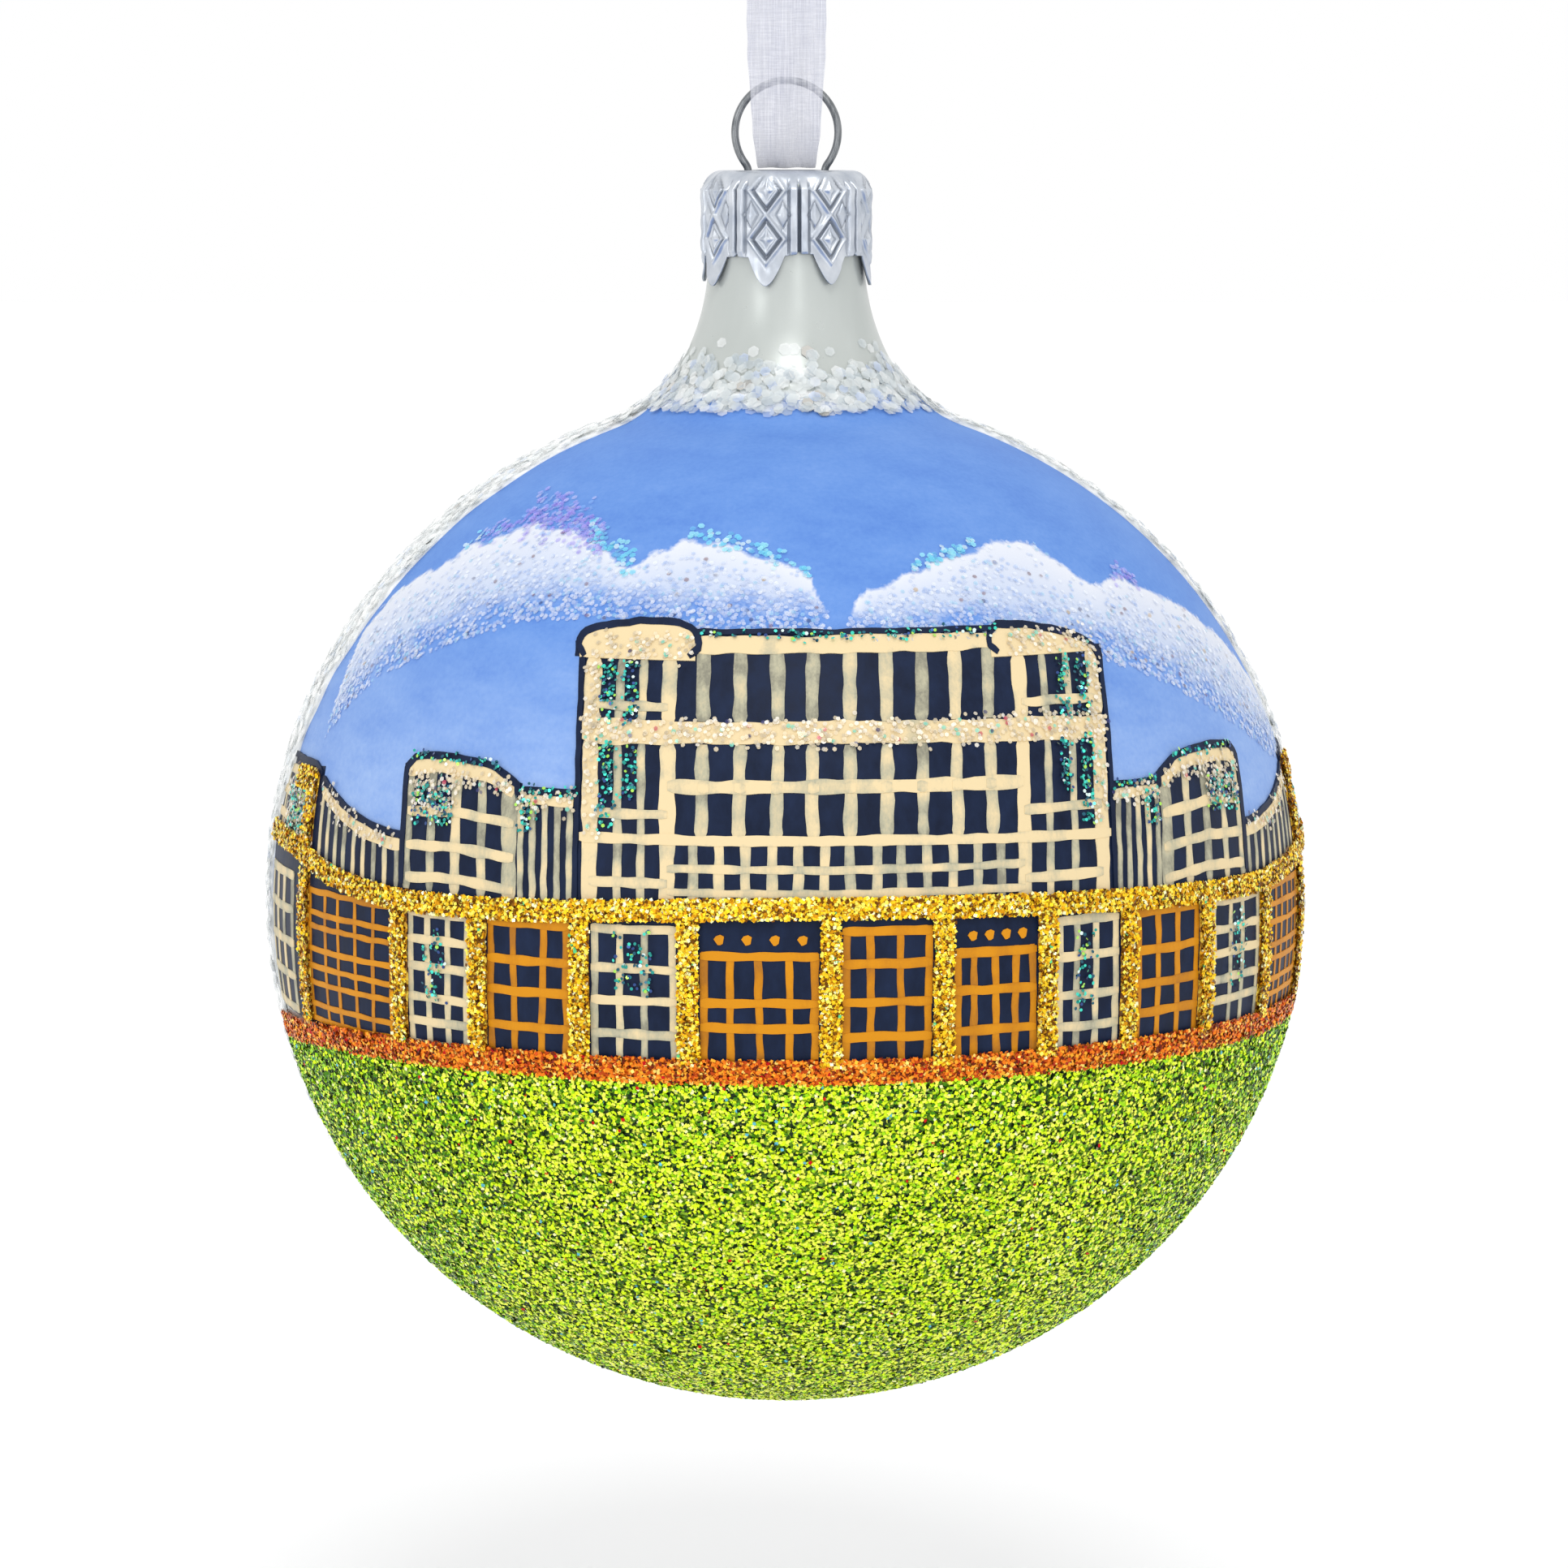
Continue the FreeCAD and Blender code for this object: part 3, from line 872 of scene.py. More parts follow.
def lattice(paint, s_lines, z_lines, width, height):
    """Uprights and levels that leave windows between them, thickest where they cross."""
    s_lines, z_lines = list(s_lines), list(z_lines)
    low, high = z_lines[0], z_lines[-1]
    left, right = s_lines[0], s_lines[-1]
    for s in s_lines:
        lean = paint.random.normal(0, 0.06)
        load = paint.random.uniform(0.2, 0.7)
        paint.stroke([(s - lean, low - height / 2), (s + lean, high + height / 2)], width, UPRIGHT_LIFT, load)
    for z in z_lines:
        load = paint.random.uniform(0.45, 0.95)
        paint.stroke([(left - width / 2, z), ((left + right) / 2, z + paint.random.normal(0, 0.05)),
                      (right + width / 2, z)], height, LEVEL_LIFT, load)


# The palace's measures as picture places: mirrored parts are given for the right
TOP_WINDOWS = 10
SMALL_WINDOWS = 14
WALL_HALF = 20.7
LEFT_COLUMNS = (-13.9, -15.9, -17.7, -19.9)
RIGHT_COLUMNS = (13.0, 15.15, 17.35, 19.9)
FLOORS = (5.8, 7.5, 9.5, 13.3)
CREAM_BAND = (16.3, 17.9)
FOOT = GOLD_BAND[1] - 0.3
ROOF = 24.0
PAVILION_FLOORS = ((6.4, 0.8), (11.3, 0.72), (18.85, 0.65))
LINK = (21.0, 25.8)
TOWER = (25.9, 37.1)
WING = (37.2, 49.4)
END_TOWER = (49.6, 63.0)
LEFT_CORNICE = [
    (-21.2, 22.9), (-20.7, 23.7), (-19.4, 24.2), (-16.3, 24.6), (-13.2, 24.6), (-12.0, 24.2),
    (-11.7, 23.6),
]
RIGHT_CORNICE = [(10.5, 23.6), (11.1, 24.2), (14.5, 24.0), (17.3, 23.4), (19.3, 22.8), (20.2, 22.1)]
CORNICE_UNDER = {-1: 22.2, 1: 21.5}
CORNICE_BASE = 22.1
TOWER_ROOF_AT = (0.0, 0.06, 0.16, 0.3, 0.6, 0.9, 0.97, 1.0)
TOWER_ROOF = (12.7, 13.1, 13.8, 14.15, 14.35, 14.1, 13.7, 13.3)
TOWER_FLOORS = (5.6, 7.9, 10.4)


def cornice(s):
    """The top edge of the pavilions' rounded cornices."""
    outline = np.array(LEFT_CORNICE + RIGHT_CORNICE)
    return np.interp(s, outline[:, 0], outline[:, 1])


def cornice_span(side):
    outline = LEFT_CORNICE if side < 0 else RIGHT_CORNICE
    return outline[0][0], outline[-1][0]


def share_across(s, span):
    """0 at the near side of a mirrored part, 1 at its far side."""
    return np.clip((np.abs(s) - span[0]) / (span[1] - span[0]), 0, 1)


def tower_top(s):
    return np.interp(share_across(s, TOWER), TOWER_ROOF_AT, TOWER_ROOF)


def wing_top(s):
    return 8.3 + 3.0 * share_across(s, WING) ** 1.8


def roofline(side, top, start, end, count, shift):
    """Places along a mirrored roof, shifted up or down from its edge."""
    return [(side * s, float(top(np.array(s))) + shift) for s in np.linspace(start, end, count)]


def paint_walls(navy):
    """The dark ground of the whole palace, which stays as windows and outlines."""
    outline = 0.32
    base = GOLD_BAND[0]
    navy.block(-13.0, 13.0, base, ROOF + outline, WALL_LIFT)
    for side in (-1, 1):
        def span(a, b, top):
            navy.block(*sorted((side * a, side * b)), base, top, WALL_LIFT)
        span(12.6, WALL_HALF + outline, CORNICE_BASE + 0.5)
        left, right = cornice_span(side)
        navy.block(left - 0.2, right + 0.2, CORNICE_UNDER[side], lambda s: cornice(s) + outline, WALL_LIFT)
        span(LINK[0], LINK[1] + outline, 12.5 + outline)
        span(TOWER[0] - outline, TOWER[1] + outline, lambda s: tower_top(s) + outline)
        span(WING[0], WING[1] + outline, lambda s: wing_top(s) + outline)
        span(END_TOWER[0], END_TOWER[1], 11.9 + outline)
    navy.block(-63.0, -0.5, PAINT_BOTTOM, GOLD_BAND[0] + 0.3, WALL_LIFT)
    navy.block(-0.6, 59.5, PAINT_BOTTOM, GOLD_BAND[0] + 0.3, WALL_LIFT)


def paint_main_block(cream):
    """The centre of ten bays and its two pavilions."""
    left, right = LEFT_COLUMNS[0], RIGHT_COLUMNS[0]
    bays = np.linspace(left, right, TOP_WINDOWS + 1)
    for s in bays[1:-1]:
        lean = cream.random.normal(0, 0.08)
        cream.stroke([(s + lean, CREAM_BAND[1]), (s, ROOF - 0.9)], 1.0, UPRIGHT_LIFT)
        cream.stroke([(s * 1.015, FLOORS[2] + 0.2), (s + lean, CREAM_BAND[0])], 0.95, UPRIGHT_LIFT)
        cream.stroke([(s - 0.4, FLOORS[3]), (s + 0.4, FLOORS[3])], 0.8, CROSSING_LIFT, 0.8)
    for s in np.linspace(left, right, SMALL_WINDOWS + 1)[1:-1]:
        lean = cream.random.normal(0, 0.06)
        cream.stroke([(s, FOOT), (s + lean, FLOORS[2])], 0.72, UPRIGHT_LIFT)
    cream.stroke([(-12.2, ROOF - 0.75), (0, ROOF - 0.7), (12.2, ROOF - 0.75)], 1.2, LEVEL_LIFT, 1.0)
    middle = sum(CREAM_BAND) / 2
    cream.stroke([(-WALL_HALF, middle - 0.1), (0, middle + 0.1), (WALL_HALF, middle - 0.3)],
                 CREAM_BAND[1] - CREAM_BAND[0], LEVEL_LIFT, 1.0)
    cream.stroke([(left, FLOORS[3]), (0, FLOORS[3] + 0.08), (right, FLOORS[3])], 0.95, LEVEL_LIFT, 0.8)
    sill = [(-WALL_HALF, FLOORS[2]), (0, FLOORS[2] + 0.05), (WALL_HALF, FLOORS[2] - 0.3)]
    cream.stroke(sill, 0.75, LEVEL_LIFT, 0.95)
    for z in (FLOORS[1], FLOORS[0]):
        cream.stroke([(left, z), (0, z - 0.05), (right, z)], 0.6, LEVEL_LIFT, 0.6)


def paint_pavilion(cream, side):
    columns = LEFT_COLUMNS if side < 0 else RIGHT_COLUMNS
    widths = (1.15, 0.62, 0.62, 1.25)
    for s, width in zip(columns, widths):
        solid = 0.9 if width > 1 else None
        cream.stroke([(s, FOOT), (s, CREAM_BAND[0])], width, UPRIGHT_LIFT, solid)
        upper = [(s, CREAM_BAND[1] - 0.2), (s - side * 0.15, CORNICE_BASE + 0.1)]
        cream.stroke(upper, width, UPRIGHT_LIFT, solid)
    left, right = sorted((columns[0], columns[-1]))
    for z, width in PAVILION_FLOORS:
        cream.stroke([(left, z), (right, z)], width, LEVEL_LIFT, 0.65)
    left, right = cornice_span(side)
    cream.block(left + 0.15, right - 0.15, CORNICE_BASE, cornice, LEVEL_LIFT + 0.01, 1.0)


def paint_wings(cream):
    """Link walls, side towers, low wings and end towers on both sides."""
    for side in (-1, 1):
        for s in np.linspace(LINK[0] + 0.5, LINK[1] - 0.2, 5):
            cream.stroke([(side * s, FOOT), (side * s, 12.0)], 0.5, UPRIGHT_LIFT)
        cream.stroke([(side * (LINK[0] + 0.2), 11.9), (side * LINK[1], 12.1)], 0.8, LEVEL_LIFT, 1.0)
        near, far = TOWER
        for z in TOWER_FLOORS:
            level = [(near + 0.3, z - 0.3), ((near + far) / 2, z + 0.15), (far - 0.4, z - 0.1)]
            cream.stroke([(side * s, height) for s, height in level], 0.75, LEVEL_LIFT, 0.75)
        tops = roofline(side, tower_top, near + 0.7, far - 0.5, 5, -0.5)
        for (s, top), width in zip(tops, (1.3, 0.8, 0.9, 0.75, 0.9)):
            cream.stroke([(s, FOOT), (s, top)], width, UPRIGHT_LIFT)
        cream.stroke(roofline(side, tower_top, near + 0.3, far - 0.3, 9, -0.55), 1.1, LEVEL_LIFT, 1.0)
        near, far = WING
        for s, top in roofline(side, wing_top, near + 0.6, far - 0.4, 9, -0.5):
            cream.stroke([(s, FOOT), (s, top)], 0.52, UPRIGHT_LIFT)
        cream.stroke(roofline(side, wing_top, near, far - 0.2, 8, -0.6), 0.9, LEVEL_LIFT, 1.0)
        columns = [side * s for s in np.linspace(END_TOWER[0] + 2.4, END_TOWER[1] - 0.5, 5)]
        lattice(cream, columns, np.linspace(6.0, 11.2, 4), 0.7, 0.65)


# The ground floor's panels, from left to right: edges, paint, columns, rows, and a lamp strip
PANELS = [
    (-52.4, -38.2, "amber", 6, 7, False),
    (-36.2, -30.3, "cream", 3, 5, False),
    (-28.3, -21.6, "amber", 3, 4, False),
    (-19.6, -13.3, "cream", 3, 4, False),
    (-11.3, -2.9, "amber", 4, 3, True),
    (-0.9, 5.5, "amber", 3, 4, False),
    (7.5, 13.8, "amber", 4, 3, True),
    (15.8, 21.2, "cream", 3, 4, False),
    (23.2, 29.9, "amber", 3, 4, False),
    (31.9, 39.1, "cream", 3, 5, False),
    (41.1, 51.0, "amber", 6, 7, False),
]
END_PANELS = ((-62.0, -54.5), (53.6, 58.5))
LAMPS = 4
LAMP_STRIP = 2.3


def uneven(paint, start, end, count):
    """Lines between two places, spaced a little unevenly as by hand."""
    lines = np.linspace(start, end, count)
    lines[1:-1] += paint.random.normal(0, 0.09, count - 2) * (end - start) / (count - 1)
    return lines


def paint_panels(cream, amber):
    paints = {"cream": cream, "amber": amber}
    low, high = PAINT_BOTTOM + 0.5, GOLD_BAND[0]
    for left, right, color, columns, rows, strip in PANELS:
        paint = paints[color]
        width = 0.42 if columns > 4 else 0.56
        height = 0.45 if rows > 5 else 0.68
        top = high - LAMP_STRIP if strip else high - 0.5
        s_lines = uneven(paint, left + width / 4, right - width / 4, columns + 1)
        z_lines = uneven(paint, low, top, rows + 1)
        lattice(paint, s_lines, z_lines, width, height)
        if strip:
            for s in np.linspace(left + 1.3, right - 1.0, LAMPS):
                lamp = [(s - 0.28, high - 1.25), (s, high - 1.05), (s + 0.28, high - 1.1)]
                amber.stroke(lamp, 0.72, LEVEL_LIFT, 1.0, 0.02)
    for left, right in END_PANELS:
        lattice(cream, np.linspace(left, right, 4), np.linspace(low, high, 5), 0.8, 0.7)


def paint_outlines(navy):
    """Dark brush lines along the roofs, over the wall paint's edge."""
    for side in (-1, 1):
        outline = LEFT_CORNICE if side < 0 else RIGHT_CORNICE[::-1]
        roof = [(s, z + 0.15) for s, z in outline]
        hook_out = [(side * 20.6, CORNICE_UNDER[side])]
        end = roof[-1][0]
        hook_in = [(end - side * 0.1, 23.0), (end + side * 0.7, 22.4)]
        navy.stroke(hook_out + roof + hook_in, 0.5, LINE_LIFT, 1.0)
        wall = [(side * WALL_HALF, CORNICE_BASE), (side * (WALL_HALF + 0.35), GOLD_BAND[1] - 0.2)]
        navy.stroke(wall, 0.42, LINE_LIFT, 1.0)
        tower = roofline(side, tower_top, *TOWER, 12, 0.15)
        tower = [(side * TOWER[0], 12.0)] + tower + [(side * TOWER[1], GOLD_BAND[1])]
        navy.stroke(tower, 0.55, LINE_LIFT, 1.0)
        navy.stroke(roofline(side, wing_top, *WING, 10, 0.15), 0.52, LINE_LIFT, 1.0)
        navy.stroke([(side * LINK[0], 12.5), (side * LINK[1], 12.5)], 0.5, LINE_LIFT, 1.0)
        navy.stroke([(side * 49.8, 11.7), (side * 51.5, 12.3), (side * 62.5, 12.2)], 0.45, LINE_LIFT, 1.0)
    navy.stroke([(-11.7, ROOF + 0.12), (0, ROOF + 0.16), (11.0, ROOF + 0.08)], 0.38, LINE_LIFT, 1.0)


def make_palace():
    navy = Paint("navy_paint", navy_material(), 71)
    cream = Paint("cream_paint", stroke_material("cream_paint", CREAM, THIN_CREAM, 0.45), 72)
    amber = Paint("amber_paint", stroke_material("amber_paint", AMBER, THIN_AMBER, 0.25), 73)
    paint_walls(navy)
    paint_main_block(cream)
    for side in (-1, 1):
        paint_pavilion(cream, side)
    paint_wings(cream)
    paint_panels(cream, amber)
    paint_outlines(navy)
    for paint in (navy, cream, amber):
        paint.build()


# ---------------------------------------------------------------- glitter
def glitter_mesh(name, azimuth, z, lift, size, tilt, sides, tones, seed):
    """Loose flakes lying on the glass, each turned and tilted its own way."""
    local = np.random.default_rng(seed)
    count = len(z)
    n_r, n_z = normal_at(z)
    sin_a, cos_a = np.sin(azimuth), np.cos(azimuth)
    normal = np.stack([n_r * sin_a, -n_r * cos_a, n_z], -1)
    east = np.stack([cos_a, sin_a, 0 * cos_a], -1)
    north = np.cross(normal, east)
    lean = local.normal(0, tilt, (count, 2))
    facing = normal + east * lean[:, :1] + north * lean[:, 1:]
    facing /= np.linalg.norm(facing, axis=1)[:, None]
    turn = local.uniform(0, 2 * math.pi, count)[:, None]
    first = east * np.cos(turn) + north * np.sin(turn)
    first -= facing * np.sum(first * facing, axis=1)[:, None]
    first /= np.linalg.norm(first, axis=1)[:, None]
    second = np.cross(facing, first)
    centre = on_glass(azimuth, z, lift)
    reach = (size * local.uniform(0.85, 1.12, count) * MM)[:, None]
    corners = []
    for k in range(sides):
        angle = 2 * math.pi * k / sides
        corners.append(centre + reach * (math.cos(angle) * first + math.sin(angle) * second))
    points = np.stack(corners, 1).reshape(-1, 3)
    mesh = bpy.data.meshes.new(name)
    mesh.vertices.add(count * sides)
    mesh.vertices.foreach_set("co", points.astype(np.float32).ravel())
    mesh.loops.add(count * sides)
    mesh.loops.foreach_set("vertex_index", np.arange(count * sides, dtype=np.int32))
    mesh.polygons.add(count)
    mesh.polygons.foreach_set("loop_start", np.arange(0, count * sides, sides, dtype=np.int32))
    weights = np.cumsum(np.broadcast_to(np.array(tones, float), (count, np.shape(tones)[-1])), axis=1)
    draw = local.uniform(0, 1, count) * weights[:, -1]
    picks = (draw[:, None] > weights).sum(axis=1)
    mesh.polygons.foreach_set("material_index", picks.astype(np.int32))
    mesh.update(calc_edges=True)
    mesh.validate()
    return mesh


def scatter(name, azimuth, z, lifts, size, tilt, sides, foils, shares, seed, replaced=()):
    """Loose flakes on the ball, as one piece."""
    mesh = glitter_mesh(name, azimuth, z, lifts, size, tilt, sides, shares, seed)
    return add_object(name, mesh, foils, "ball", replaced)


def bed_mesh(name, left, right, low, high, lift, rough, step, seed, follow=None):
    """A closed lumpy layer between two seams, which are functions of height."""
    middle = np.array([(low + high) / 2])
    span = float(right(middle)[0] - left(middle)[0])
    columns = max(4, int(span * float(radius_at(middle)[0]) / step))
    rows = max(4, int((high - low) / step) + 2)
    share_z = np.linspace(0, 1, rows)[:, None]
    share_a = np.linspace(0, 1, columns)[None, :]
    z = low + (high - low) * share_z + 0 * share_a
    a0, a1 = left(z[:, 0])[:, None], right(z[:, 0])[:, None]
    azimuth = a0 + (a1 - a0) * share_a
    s = azimuth * BALL_R
    edge = 0.12 * ripple(s, 0 * s, seed, low=1.0, high=4.0)
    z = np.clip(z + edge * (2 * share_z - 1), -BALL_HALF_HEIGHT + 0.002, None)
    if follow:
        z = z + follow(picture_s(azimuth, z), z)
    local = np.random.default_rng(seed)
    soft = 0.6 * ripple(s, z, seed + 1, low=1.0, high=5.0)
    lumps = lift + rough * (soft + 0.5 * local.normal(0, 1, z.shape))
    border_z = np.minimum(share_z, 1 - share_z) * rows / 2
    border = np.minimum(border_z, np.minimum(share_a, 1 - share_a) * columns / 2)
    lumps *= 0.45 + 0.55 * np.clip(border, 0, 1)
    outer = on_glass(azimuth, z, lumps).reshape(-1, 3)
    inner = on_glass(azimuth, z, 0.04).reshape(-1, 3)
    return mesh_from(name, np.concatenate([outer, inner]), shell_faces(rows, columns))


# Glitter mixes: screen colours, and how many flakes of each
GREEN_TONES = [
    (210, 252, 26), (230, 255, 84), (150, 208, 18), (66, 124, 8), (12, 40, 3), (252, 255, 176),
    (90, 176, 200), (190, 16, 22),
]
# The lawn's lime mix stands for glitter catching reflected light and its deeper green mix for painted shade;
# the lawn blends them by place.
LIT_LIME_SHARES = [40, 36, 9, 5, 9, 4, 0.6, 0.3]
SHADED_GREEN_SHARES = [20, 7, 33, 24, 13, 2, 1.0, 0.35]
GOLD_TONES = [(250, 204, 30), (255, 236, 96), (212, 146, 8), (112, 66, 6), (255, 252, 196), (90, 200, 130)]
GOLD_SHARES = [33, 22, 20, 16, 8, 0.5]
ORANGE_TONES = [(240, 124, 22), (255, 168, 44), (190, 70, 12), (104, 30, 8), (255, 214, 110), (186, 8, 16)]
ORANGE_SHARES = [34, 22, 20, 13, 8, 3]
SNOW_TONES = [
    (244, 246, 244), (236, 240, 240), (222, 228, 229), (255, 255, 255), (214, 226, 244), (160, 156, 148),
]
SNOW_SHARES = [34, 26, 16, 17, 6, 0.6]
COLLAR_TONES = [
    (226, 231, 231), (212, 220, 223), (196, 206, 212), (244, 246, 245), (190, 206, 236), (140, 132, 120),
]
PEARL_TONES = [
    (232, 216, 184), (246, 240, 228), (196, 182, 154), (214, 206, 190), (112, 206, 184), (30, 34, 100),
    (190, 50, 84),
]
PEARL_SHARES = [36, 20, 20, 15, 5, 1.4, 1.2]
TEAL_TONES = [(30, 150, 140), (60, 214, 190), (16, 84, 104), (40, 70, 130), (170, 226, 90), (220, 240, 236)]
TEAL_SHARES = [30, 22, 20, 12, 8, 8]
CLOUD_TONES = [
    (200, 212, 236), (166, 190, 232), (232, 237, 246), (158, 206, 232), (110, 30, 24), (24, 26, 90),
    (190, 150, 60),
]
CLOUD_SHARES = [34, 28, 26, 9, 0.7, 0.6, 0.4]
VIOLET_TONES = [(152, 136, 232), (174, 164, 242), (128, 176, 240), (200, 200, 244)]
VIOLET_SHARES = [38, 28, 18, 16]
AQUA_TONES = [(110, 208, 236), (150, 226, 240), (96, 176, 226), (206, 232, 240)]
AQUA_SHARES = [34, 28, 22, 16]


def region_sample(count, left, right, low, high, seed):
    """Even random places between two seams and two heights."""
    local = np.random.default_rng(seed)
    z = local.uniform(low, high, count)
    return left(z) + (right(z) - left(z)) * local.uniform(0, 1, count), z, local


def fixed(angle):
    return lambda z: np.zeros(np.shape(z)) + angle


def coat(name, left, right, low, high, count, bed, foils, shares, slot, node, seed,
         size=0.168, lift=(0.32, 0.56), bed_lift=0.34, follow=None):
    """A glitter coat: a lumpy bed and the square flakes on it. The shares may be a function of place."""
    tilt, sides, bed_rough, step = 0.27, 4, 0.07, 0.45
    mesh = bed_mesh(name + "_bed", left, right, low, high, bed_lift, bed_rough, step, seed, follow)
    add_object(name + "_bed", mesh, [bed], "ball", node)
    azimuth, z, local = region_sample(count, left, right, low - 0.08, high + 0.08, seed + 1)
    z = np.clip(z, -BALL_HALF_HEIGHT + 0.003, None)
    if follow:
        z = z + follow(picture_s(azimuth, z), z)
    lifts = local.uniform(*lift, count)
    if callable(shares):
        shares = shares(azimuth, z)
    scatter(name + "_grains", azimuth, z, lifts, size, tilt, sides, foils, shares, seed + 2)


LAWN_FLAKES = 98000
ORANGE_FLAKES = 13500
GOLD_FLAKES = 12000
GOLD_LIFTS = (0.4, 0.66)
GOLD_GRAINS_PER_MM2 = 62
LIME_GAIN = 1.36


def lawn_shares_lit_and_shaded(azimuth, z):
    """Lime in the middle and low down, which stands for the floor's light reflected in the glitter, a painted
    reflection; deeper green towards the sides and up by the picture, which is painted shade, with random
    patches.
    """
    out = np.clip((np.abs(azimuth - math.radians(4)) - math.radians(34)) / math.radians(40), 0, 1)
    high = np.clip((z + 16.0) / 8.0, 0, 1)
    patchy = 0.12 * ripple(azimuth * BALL_R, z, 313, low=0.1, high=0.5)
    shade_and_patches = np.clip(0.95 * out + 0.3 * high + patchy, 0, 1)[:, None]
    return (1 - shade_and_patches) * np.array(LIT_LIME_SHARES) + shade_and_patches * np.array(SHADED_GREEN_SHARES)


def make_lawn():
    bed = glitter_bed("lawn_bed", linear(16, 44, 4), linear(84, 134, 12), linear(180, 220, 36))
    foils = flake_set("lime_foil", GREEN_TONES, 0.75, 0.34, gain=LIME_GAIN)
    coat("lawn", *front_seams(), -BALL_HALF_HEIGHT, ORANGE_BAND[0], LAWN_FLAKES, bed, foils, lawn_shares_lit_and_shaded,
         "green_glitter", ["green_glitter_coat"], 301, size=0.174, follow=lawn_wander)


def make_orange():
    bed = glitter_bed("copper_bed", linear(96, 30, 6), linear(206, 92, 14), linear(250, 160, 50))
    foils = flake_set("copper_foil", ORANGE_TONES, 0.75, 0.3)
    coat("copper_line", *front_seams(), *ORANGE_BAND, ORANGE_FLAKES, bed, foils, ORANGE_SHARES,
         "orange_glitter", ["orange_glitter_band"], 331, lift=(0.34, 0.6), follow=orange_wander)


PILLARS = [-37.2, -29.3, -20.6, -12.3, -1.9, 6.5, 14.8, 22.2, 30.9, 40.1]
TOWER_PILLARS = [-51.2, 50.8]
TOWER_CAP_SHIFT = 1.5
TOWER_CAP_WIDTH = 4.4
PILLAR_WIDTH = 1.45


def strip_edge(s, seed):
    """One side of an upright strip, which wobbles along its height."""
    return lambda z: picture_azimuth(s + 0.1 * ripple(z, 0 * z, seed), z)


def make_gold():
    """The gold line, its uprights, and the end towers' edges and caps, which stand above it."""
    bed = glitter_bed("gold_bed", linear(108, 62, 6), linear(214, 152, 14), linear(255, 222, 80))
    foils = flake_set("gold_foil", GOLD_TONES, 0.8, 0.28)
    coat("gold_band", *front_seams(0.02), *GOLD_BAND, GOLD_FLAKES, bed, foils, GOLD_SHARES,
         "gold_glitter", ["gold_glitter_band"], 351, lift=GOLD_LIFTS, bed_lift=0.4, follow=gold_wander)
    uprights = [(s, ORANGE_BAND[1] - 0.4, GOLD_BAND[0] + 0.5, PILLAR_WIDTH) for s in PILLARS]
    for s in TOWER_PILLARS:
        uprights.append((s, ORANGE_BAND[1] - 0.9, GOLD_BAND[0] + 1.0, PILLAR_WIDTH))
        uprights.append((s, GOLD_BAND[1], 11.0, PILLAR_WIDTH))
        uprights.append((s + math.copysign(TOWER_CAP_SHIFT, s), 10.2, 11.9, TOWER_CAP_WIDTH))
    points, faces, count = [], [], 0
    azimuths, heights = [], []
    local = np.random.default_rng(377)
    for index, (s, low, high, width) in enumerate(uprights):
        left = strip_edge(s - width / 2, 91 + index)
        right = strip_edge(s + width / 2, 191 + index)
        mesh = bed_mesh("strip", left, right, low, high, 0.42, 0.07, 0.45, 400 + index)
        points += [v.co[:] for v in mesh.vertices]
        faces += [tuple(v + count for v in f.vertices) for f in mesh.polygons]
        count = len(points)
        bpy.data.meshes.remove(mesh)
        grains = int((high - low) * width * GOLD_GRAINS_PER_MM2)
        z = local.uniform(low, high, grains)
        heights.append(z)
        azimuths.append(left(z) + (right(z) - left(z)) * local.uniform(-0.04, 1.04, grains))
    mesh = mesh_from("gold_uprights_bed", points, faces)
    add_object("gold_uprights_bed", mesh, [bed], "ball", ["gold_glitter_pillars"])
    azimuth, z = np.concatenate(azimuths), np.concatenate(heights)
    lifts = local.uniform(*GOLD_LIFTS, len(z))
    scatter("gold_uprights_grains", azimuth, z, lifts, 0.165, 0.33, 4, foils, GOLD_SHARES,
            378)


SNOW_FLAKES = 44000
COLLAR_FLAKES = 1800
COLLAR_FROM = 39.1
COLLAR_TO = 41.0


